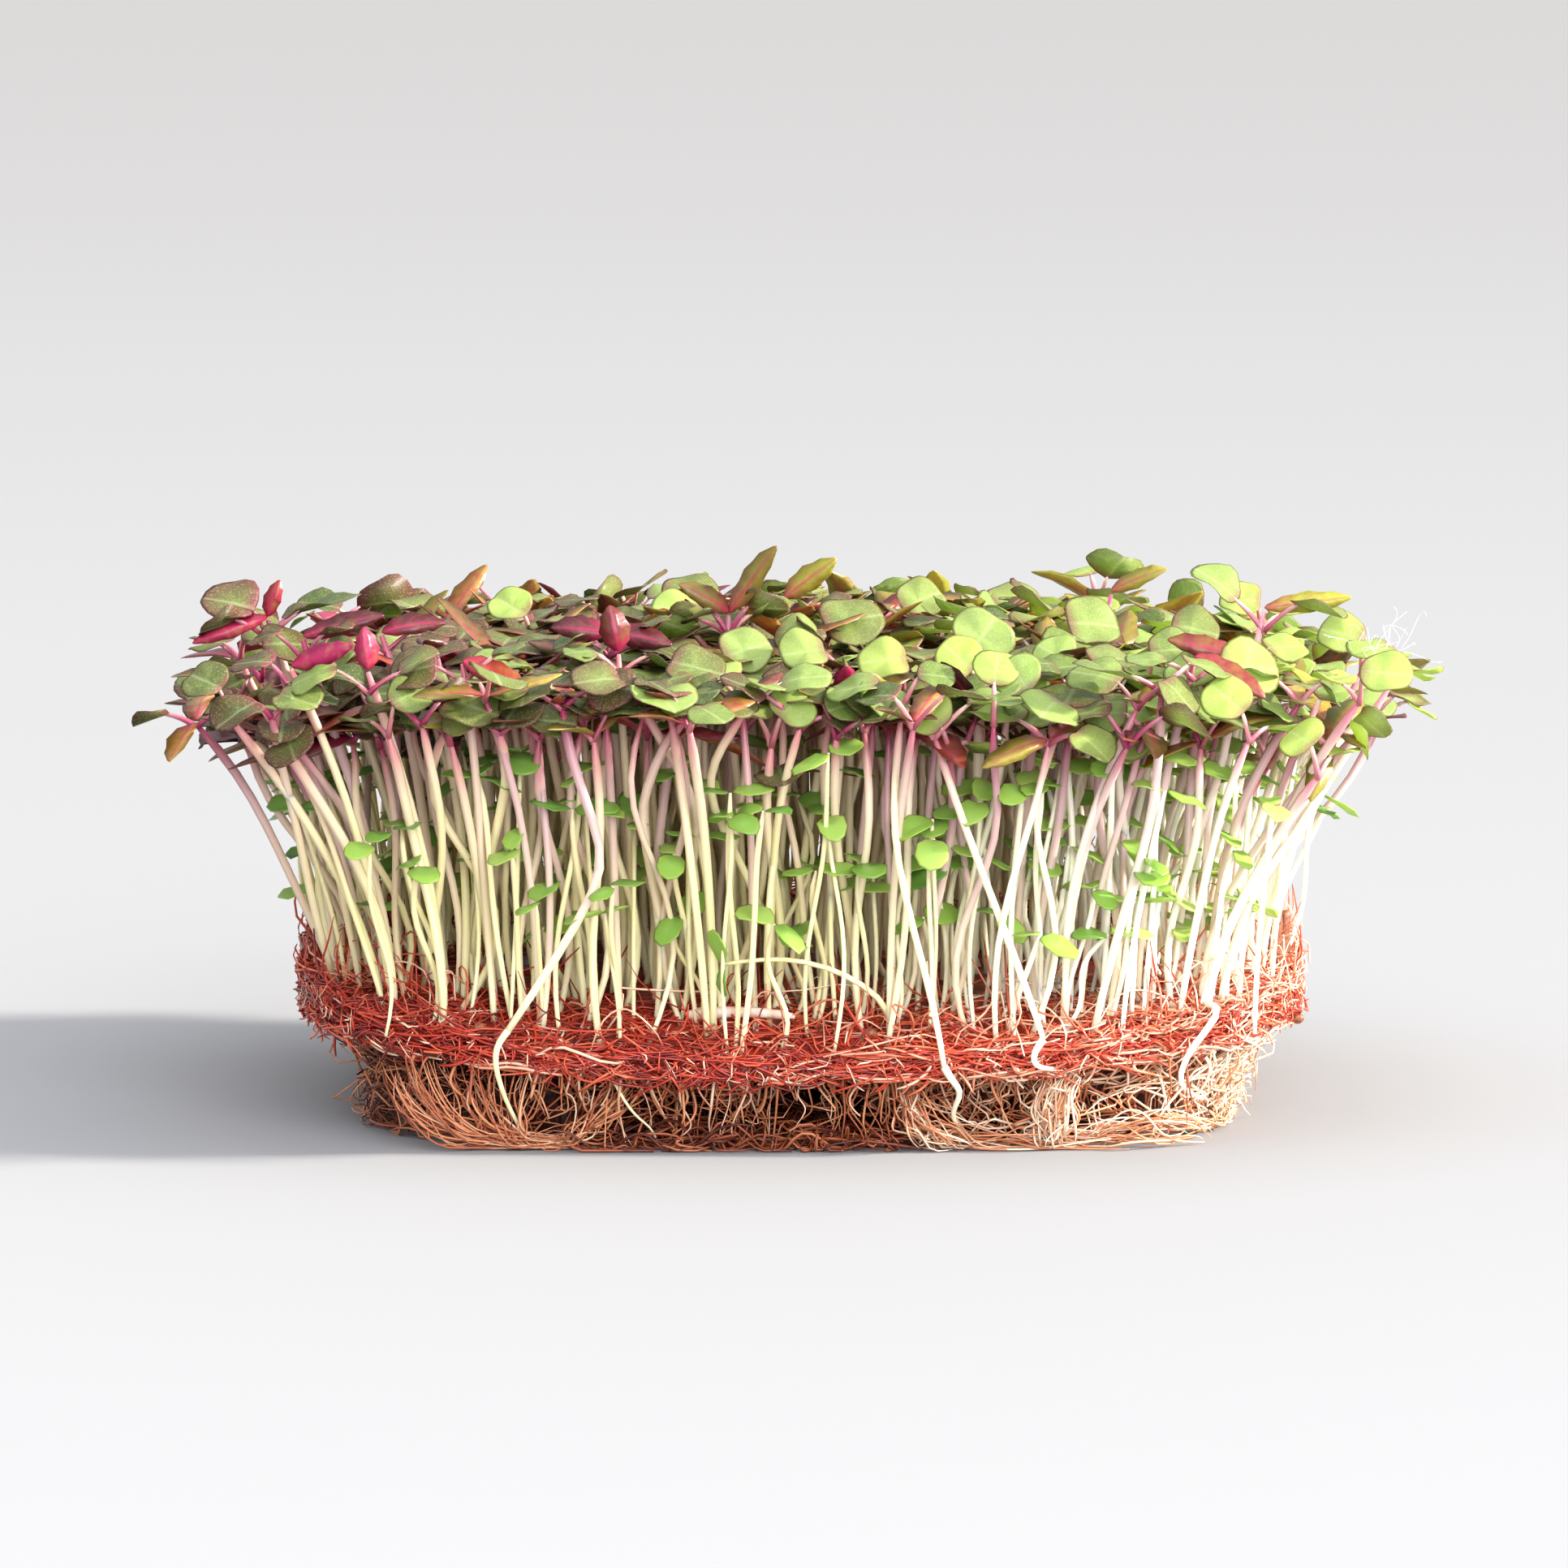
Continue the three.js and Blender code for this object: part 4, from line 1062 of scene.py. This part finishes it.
def add_true_leaves(name, leaves, shade, red):
    """A piece of true leaves: closed thin shells with a lens-shaped section along the midrib. The side
    veins are where a wave that runs out from the midrib and forwards has its crests."""
    base, heading, normal, length, width = leaves
    count = len(base)
    half = 0.5 * width[:, None, None] * TRUE_LEAF_SHAPE[:, None]
    lift = 0.16 * FACE * TRUE_LEAF_SHAPE[:, None] ** 0.5 + 0 * half
    along = length[:, None, None] * along_blade[:, None] + 0 * SECTION
    fold, droop = draw(0.05, 0.35, count), draw(-0.05, 0.25, count)
    rings = laid_out(base, heading, normal, along, half * SECTION, lift, length, fold, droop)
    crests = 24 * along_blade[:, None] - 9 * np.abs(SECTION)
    return loft(
        name,
        rings,
        maroon_leaf,
        "leaf",
        shade=shade[:, None, None],
        red=red[:, None, None],
        vein=crests[None],
        rim=np.abs(SECTION)[None, None, :],
        along=along_blade[None, :, None],
    )


def true_leaf_pairs(tips, angle, least, most):
    """Random true leaf pairs that rise from the buds: base, heading, normal, length and width."""
    turned = np.concatenate([angle, angle + np.pi]) + 0.5 * np.pi + chance.normal(0, 0.2, 2 * len(angle))
    tip = for_both(tips)
    count = len(tip)
    away, near = away_from_middle(tip)
    back = -compass(turned)[:, :2] * draw(0.0, 0.7, (count, 1))
    lean = away * 0.15 * near[:, None] ** 2 + back  # the normal leans back where the leaf rises
    heading, normal = facing(turned, lean, np.ones(count), 0.2)
    base = tip + 0.4 * UP + heading * 0.3
    length = draw(least, most, count)
    return base, heading, normal, length, length * draw(0.46, 0.62, count)


def light_of(count):
    """How light true leaves are, from dark to orange-brown, with a few magenta ones."""
    return np.where(draw(0, 1, count) < 0.08, 0.98, np.clip(chance.normal(0.42, 0.22, count), 0, 0.85))


edge_true = true_leaf_pairs(edge_stems[:, -1], edge_angle, 6.5, 10.0)
twice = for_both(edge_red)
true_leaves_edge = add_true_leaves("true_leaves_edge", edge_true, light_of(len(twice)), twice)
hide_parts(*HEAD_NODES)

grown = draw(0, 1, CROWD) < 0.55 + 0.45 * crowd_red
crowd_true = true_leaf_pairs(crowd_stems[grown, -1], crowd_angle[grown], 6.5, 11.5)
twice = for_both(crowd_red[grown])
add_true_leaves("true_leaves_crowd", crowd_true, light_of(len(twice)), twice)

# In the front row, only heads that no shown seed leaf covers have true leaves.
apart = np.abs(front_line[:, None, -1] + np.array([0, 2.0]) - shown[None, :, :2])
clear = (np.linalg.norm(apart, axis=-1) > 5.5).all(axis=1)
front_true = true_leaf_pairs(front_stems[clear, -1], front_angle[clear], 3.0, 6.0)
twice = for_both(front_red[clear])
add_true_leaves("true_leaves_front_row", front_true, light_of(len(twice)), twice)

heading = unit(young_tip - young_base)
normal = np.array([0, -0.8, 0.6]) + chance.normal(0, 0.12, heading.shape)
normal = square_to(heading, normal)
length = np.linalg.norm(young_tip - young_base, axis=1)
shown_true = (young_base, heading, normal, length, young_wide)
add_true_leaves("true_leaves_shown", shown_true, young_light, young_red)

# Lower storey
# Late seedlings of the same crop: thin pale stems that reach part of the way up, each with one pair of
# small, oval, glossy, vivid green seed leaves. They stand between the tall stems, most near the edge.
LATE = 300
LATE_SHOWN = [
    # place across and height as seen at the front
    (-49.5, 36.0), (-44.2, 33.4), (-33.2, 35.0), (-14.6, 34.7), (1.7, 32.8), (6.8, 33.7),
    (15.2, 36.5), (20.3, 40.8), (27.7, 42.7), (35.7, 45.5), (39.4, 32.8), (54.0, 40.3),
]
late_seen = np.array(LATE_SHOWN)
late_feet = at_rim(mat_rim, draw(0, MAT_ROUND, LATE), 1.8 + 20 * draw(0, 1, LATE) ** 1.4)
late_away, _ = away_from_middle(late_feet)
late_tips = late_feet + late_away * draw(0, 5, (LATE, 1)) + chance.normal(0, 1.8, late_feet.shape)
late_tips = raised(late_tips, draw(24, 47, LATE))
late_tips[: len(late_seen)] = seen_at(late_seen[:, 0], draw(-55, -51, len(late_seen)), late_seen[:, 1])
late_feet[: len(late_seen)] = late_tips[: len(late_seen), :2] * np.array([0.97, 0.88])
late_stems = stems_between(late_feet, late_tips, 1.4, 0.9)
add_stems("stems_late", late_stems, 0.26, 0.38, draw(0, 0.15, LATE), 0.6)

# Late leaf skin: vivid glossy green, paler in the middle.
vivid_leaf, tree, shader = new_material("vivid_late_seed_leaf")
shade_value = add_node(tree, "Attribute", {}, "Fac", attribute_name="shade")
rim_value = add_node(tree, "Attribute", {}, "Fac", attribute_name="rim")
VIVID = [(0.0, "#78a848"), (0.5, "#a6cb58"), (1.0, "#cde27a")]
green = add_node(tree, "ValToRGB", {"Fac": shade_value}, stops=VIVID)
pale = add_node(tree, "MapRange", {"Value": rim_value, "From Min": 0.7, "From Max": 0.05, "To Max": 0.4})
colour = add_node(tree, "Mix", {0: pale, 6: green, 7: linear("#a6d873")}, **COLOUR_MIX)
set_inputs(shader, {"Base Color": colour, "Roughness": 0.28})
let_light_through(tree, shader, colour, 0.38)


def add_late_leaves(name, base, heading, normal, length):
    """A piece of small oval leaves, greener on the left and lighter and yellower on the right as painted
    sunlight.
    """
    count = len(base)
    width, notch = 0.74 * length, np.zeros(count)
    rings = round_blades(base, heading, normal, length, width, notch, thickness=0.26, sides=10)
    # Painted sunlight: lighter and yellower towards the right end.
    shade = np.clip(0.45 + 0.2 * base[:, 0] / mat_half[0] + chance.normal(0, 0.2, count), 0, 1)
    rim = RING_SIZE[None, :, None]
    return loft(name, rings, vivid_leaf, "leaf", shade=shade[:, None, None], rim=rim)


angle = draw(0, 2 * np.pi, LATE)
turned = np.concatenate([angle, angle + np.pi])
tip = for_both(late_stems[:, -1])
away, near = away_from_middle(tip)
heading, normal = facing(turned, away, 0.3 * near, 0.2)
add_late_leaves("late_seed_leaves", tip + heading * 0.2, heading, normal, draw(3.4, 5.8, 2 * LATE))

# Stray seedlings
# Seedlings that slipped over the mat's front edge when the block was pulled out: a fallen one across the
# stems, and white root ends that loop down in front of the root mass and turn back into it.
STRAYS = [
    # each point is a place across, a depth and a height above the floor
    [(10.5, -48, 13), (9.8, -51, 17.5), (4, -53.5, 21.5), (-2.5, -54, 22.9), (-9, -54, 22)],
    [(-33.7, -57.2, 14.7), (-35, -57.3, 13), (-35.2, -56.6, 10.4), (-34, -53.5, 6.0), (-32, -49.5, 1.4)],
    [(16.4, -57.2, 10.5), (17.2, -57.2, 9), (18.6, -56.2, 7.4), (17, -53.0, 4.4), (18.5, -49.5, 2.2)],
    [(27.8, -57.2, 13.7), (26.7, -57.5, 12.4), (26.5, -57.4, 11.0), (27.6, -56.4, 10.2), (30, -52, 9.6)],
    [(46.5, -42, 16), (49, -50, 16.5), (44, -54, 11.5), (43.2, -53, 7.6), (46.4, -46.5, 5.4)],
    [(-22, -52, 9), (-20.5, -53, 6.2), (-19, -52, 4), (-17.2, -51, 2.6), (-16.6, -49.5, 0.6)],
]
stray_knots = np.array(STRAYS)
stray_knots[1:4, 0] = front_stems[OVER_THE_EDGE, 0]  # root ends of the stems that hang over the edge
stray_lines = bend(stray_knots, STEM_POINTS)
stray_radii = np.array([0.42, 0.42, 0.46, 0.44, 0.48, 0.2])[:, None] * (1 - 0.5 * rise)
stray_tone = np.array([0.35, 0.1, 0.05, 0.05, 0.0, 0.1])[:, None, None] + 0 * rise[None, :, None]
stray_rings = tube_rings(stray_lines, stray_radii, 6, BACK)
loft("stray_seedlings", stray_rings, juicy_stem, "stem", along=stray_tone, flush=0 * stray_tone)
fallen = np.repeat(stray_lines[:1, -1], 2, axis=0)
heading = unit(np.array([[-0.25, -0.2, 1.0], [-0.1, -0.1, -1.0]]))
normal = unit(np.array([[-0.8, -0.6, -0.3], [-0.9, -0.4, 0.0]]))
normal = square_to(heading, normal)
add_late_leaves("fallen_seed_leaves", fallen, heading, normal, np.array([4.4, 3.8]))

# Loose bits
# A dry cut stem on the front edge, seeds that never sprouted, and two strips of husk bark at the right
# end. The stem and the seeds lie loose on the felt, and the strips stick in it.
dry_low, dry_high = (np.array(corner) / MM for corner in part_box("dry_stem"))
span = np.linspace(-0.5, 0.5, STEM_POINTS)
curve = [span * (dry_high - dry_low)[0], -0.9 * span, 0.5 * np.cos(3 * span) - 0.7]
dry_path = 0.5 * (dry_low + dry_high) + np.stack(curve, axis=-1)
dry_radii = 0.66 * (1 - 0.5 * span) * np.where(np.abs(span) > 0.49, 0.5, 1.0)


def speckled(name, pattern, size, colours, roughness):
    """A material whose colour follows a fine pattern with a size in millimetres."""
    made, tree, shader = new_material(name)
    place = add_node(tree, "TexCoord", {}, "Object")
    speck = add_node(tree, pattern, {"Vector": place, "Scale": 1 / (size * MM)})
    colour = add_node(tree, "ValToRGB", {"Fac": speck}, stops=colours)
    set_inputs(shader, {"Base Color": colour, "Roughness": roughness})
    return made


# Dry stem: dull cream straw with pinkish stains.
BLEACHED = [(0.3, "#cfa184"), (0.7, "#f1e3d4")]
dry_skin = speckled("bleached_dry_stem", "TexNoise", size=1.5, colours=BLEACHED, roughness=0.6)
dry_stem = loft("dry_stem_piece", tube_rings(dry_path[None], dry_radii[None], 8), dry_skin, "dry_stem")
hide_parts("dry_stem")

# Seed coat and bark: dark brown with a fine net of paler lines.
BROWNS = [(0.0, "#4a2013"), (0.8, "#96552f")]
bark = speckled("brown_seed_coat_and_bark", "TexVoronoi", size=0.35, colours=BROWNS, roughness=0.5)

SEED_NODES = ["seed_1", "seed_2", "seed_3"]
seed_corners = np.array([[np.array(corner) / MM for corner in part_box(node)] for node in SEED_NODES])
SEED_LONG, SEED_ROUND = 0.8, 0.66  # half sizes of a seed
pole = np.linspace(0.05, np.pi - 0.05, 9)
seed_axis = np.stack([-SEED_LONG * np.cos(pole), 0 * pole, 0 * pole - 0.35], axis=-1)
seed_paths = seed_corners.mean(axis=1)[:, None, :] + seed_axis
seed_radii = np.repeat(SEED_ROUND * np.sin(pole)[None], len(SEED_NODES), axis=0)
seeds = loft("seeds", tube_rings(seed_paths, seed_radii, 12), bark, "husk")
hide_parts(*SEED_NODES)

STRIP_NODES = ["husk_strip_1", "husk_strip_2"]
strip_corners = np.array([[np.array(corner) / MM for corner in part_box(node)] for node in STRIP_NODES])
strip_foot = strip_corners.mean(axis=1)
strip_foot[:, 2] = strip_corners[:, 0, 2] - 0.9
strip_tall = (strip_corners[:, 1, 2] - strip_foot[:, 2])[:, None]
climb = np.linspace(0, 1, 9)
ragged = 1 - 0.35 * climb[None, :] + chance.normal(0, 0.06, (len(STRIP_NODES), len(climb)))
bowed = 0.3 * np.sin(2.2 * climb)[None, :, None] + 0.32 * FACE - 0.5 * np.abs(SECTION)
broad = -1.5 * ragged[..., None] * SECTION
HALF_TURNED = np.sqrt(0.5)  # the broad side looks half to the front and half to the right
strip_x = strip_foot[:, 0, None, None] + HALF_TURNED * (bowed + broad)
strip_y = strip_foot[:, 1, None, None] + HALF_TURNED * (broad - bowed)
strip_z = (strip_foot[:, 2, None] + strip_tall * climb)[..., None] + 0 * strip_y
strips = loft("husk_strips", np.stack([strip_x, strip_y, strip_z], axis=-1), bark, "husk")
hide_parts(*STRIP_NODES)

# White threads
# A fluff of very fine white threads, like spider silk, that clings to a leaf at the right end. Each thread
# starts on the blade and curls off it as it likes.
SILKS = [(0.3, "#d9dde2"), (0.7, "#fbfbfa")]
silk = speckled("white_silk", "TexNoise", size=0.8, colours=SILKS, roughness=0.3)

THREADS = 24
THREAD_POINTS = 14
share = np.linspace(0, 1, THREAD_POINTS)
start = shown_middle[-1] + chance.normal(0, 1, (THREADS, 3)) * np.array([1.8, 1.0, 0.3])
away = unit(chance.normal(0, 1, (THREADS, 3)) + np.array([0.3, -0.2, 0.7]))
reach = draw(2.0, 5.5, (THREADS, 1, 1)) * share[None, :, None]
threads = start[:, None, :] + away[:, None, :] * reach
threads = threads + wander(THREADS, THREAD_POINTS, 0.7, 1.2) * share[:, None]
radii = np.repeat(draw(0.015, 0.03, (THREADS, 1)), THREAD_POINTS, axis=1)
loft("white_threads", tube_rings(threads, radii, 3), silk, "stem")

# Stage
# A plain pale floor, low sunlight from the right, soft light from above, from the front and from all round,
# and the long lens that the picture was taken with.
floor_mesh = bpy.data.meshes.new("floor")
REACH = 12.0
floor_corners = [(-REACH, -REACH, 0), (REACH, -REACH, 0), (REACH, REACH, 0), (-REACH, REACH, 0)]
floor_mesh.from_pydata(floor_corners, [], [(0, 1, 2, 3)])
floor = bpy.data.objects.new("floor", floor_mesh)
bpy.context.scene.collection.objects.link(floor)
pale_floor, tree, shader = new_material("pale_floor")
set_inputs(shader, {"Base Color": linear("#8e8e8f"), "Roughness": 0.8, "Specular IOR Level": 0.1})
floor_mesh.materials.append(pale_floor)


def aim(thing, place, target):
    """Puts a light or a lens at a place, in metres, and turns it to a target."""
    holder = bpy.data.objects.new(thing.name, thing)
    holder.location = place
    holder.rotation_mode = "QUATERNION"
    holder.rotation_quaternion = (Vector(target) - Vector(place)).to_track_quat("-Z", "Y")
    bpy.context.scene.collection.objects.link(holder)
    return holder


sun = bpy.data.lights.new("sun_from_the_right", "SUN")
sun.energy = 10.4
sun.angle = np.radians(5.0)
sun.color = linear("#fff9ef")[:3]
aim(sun, (0.85, -0.05, 0.39), (0, 0, 0))

SOFT_LIGHTS = [
    # name, width in metres, power and place
    ("front_fill", 1.2, 40.0, (0.5, -1.6, 0.6)),
    ("top_fill", 2.5, 32.0, (0.0, -0.3, 2.0)),
]
for name, width, power, stand in SOFT_LIGHTS:
    soft = bpy.data.lights.new(name, "AREA")
    soft.size = width
    soft.energy = power
    soft.color = linear("#f6f8ff")[:3]
    aim(soft, stand, (0, 0, 0.04))

world = bpy.data.worlds.new("pale_room")
bpy.context.scene.world = world
world.use_nodes = True
sky = world.node_tree.nodes["Background"]
set_inputs(sky, {"Color": linear("#e3e5ea"), "Strength": 1.45})
bpy.context.scene.view_settings.view_transform = "Standard"

# The lens is aimed at the front of the block from a little above, and its width spans 180 mm there.
SPAN = 180.0
target = np.array([-2.0, -52.0, 42.6])
stand = target + EYE_DISTANCE * unit(np.array([0, -1, SIGHT]))
lens = bpy.data.cameras.new("camera")
lens.sensor_width = 36.0
lens.lens = lens.sensor_width * EYE_DISTANCE / SPAN
lens.clip_end = 20.0
bpy.context.scene.camera = aim(lens, stand * MM, target * MM)
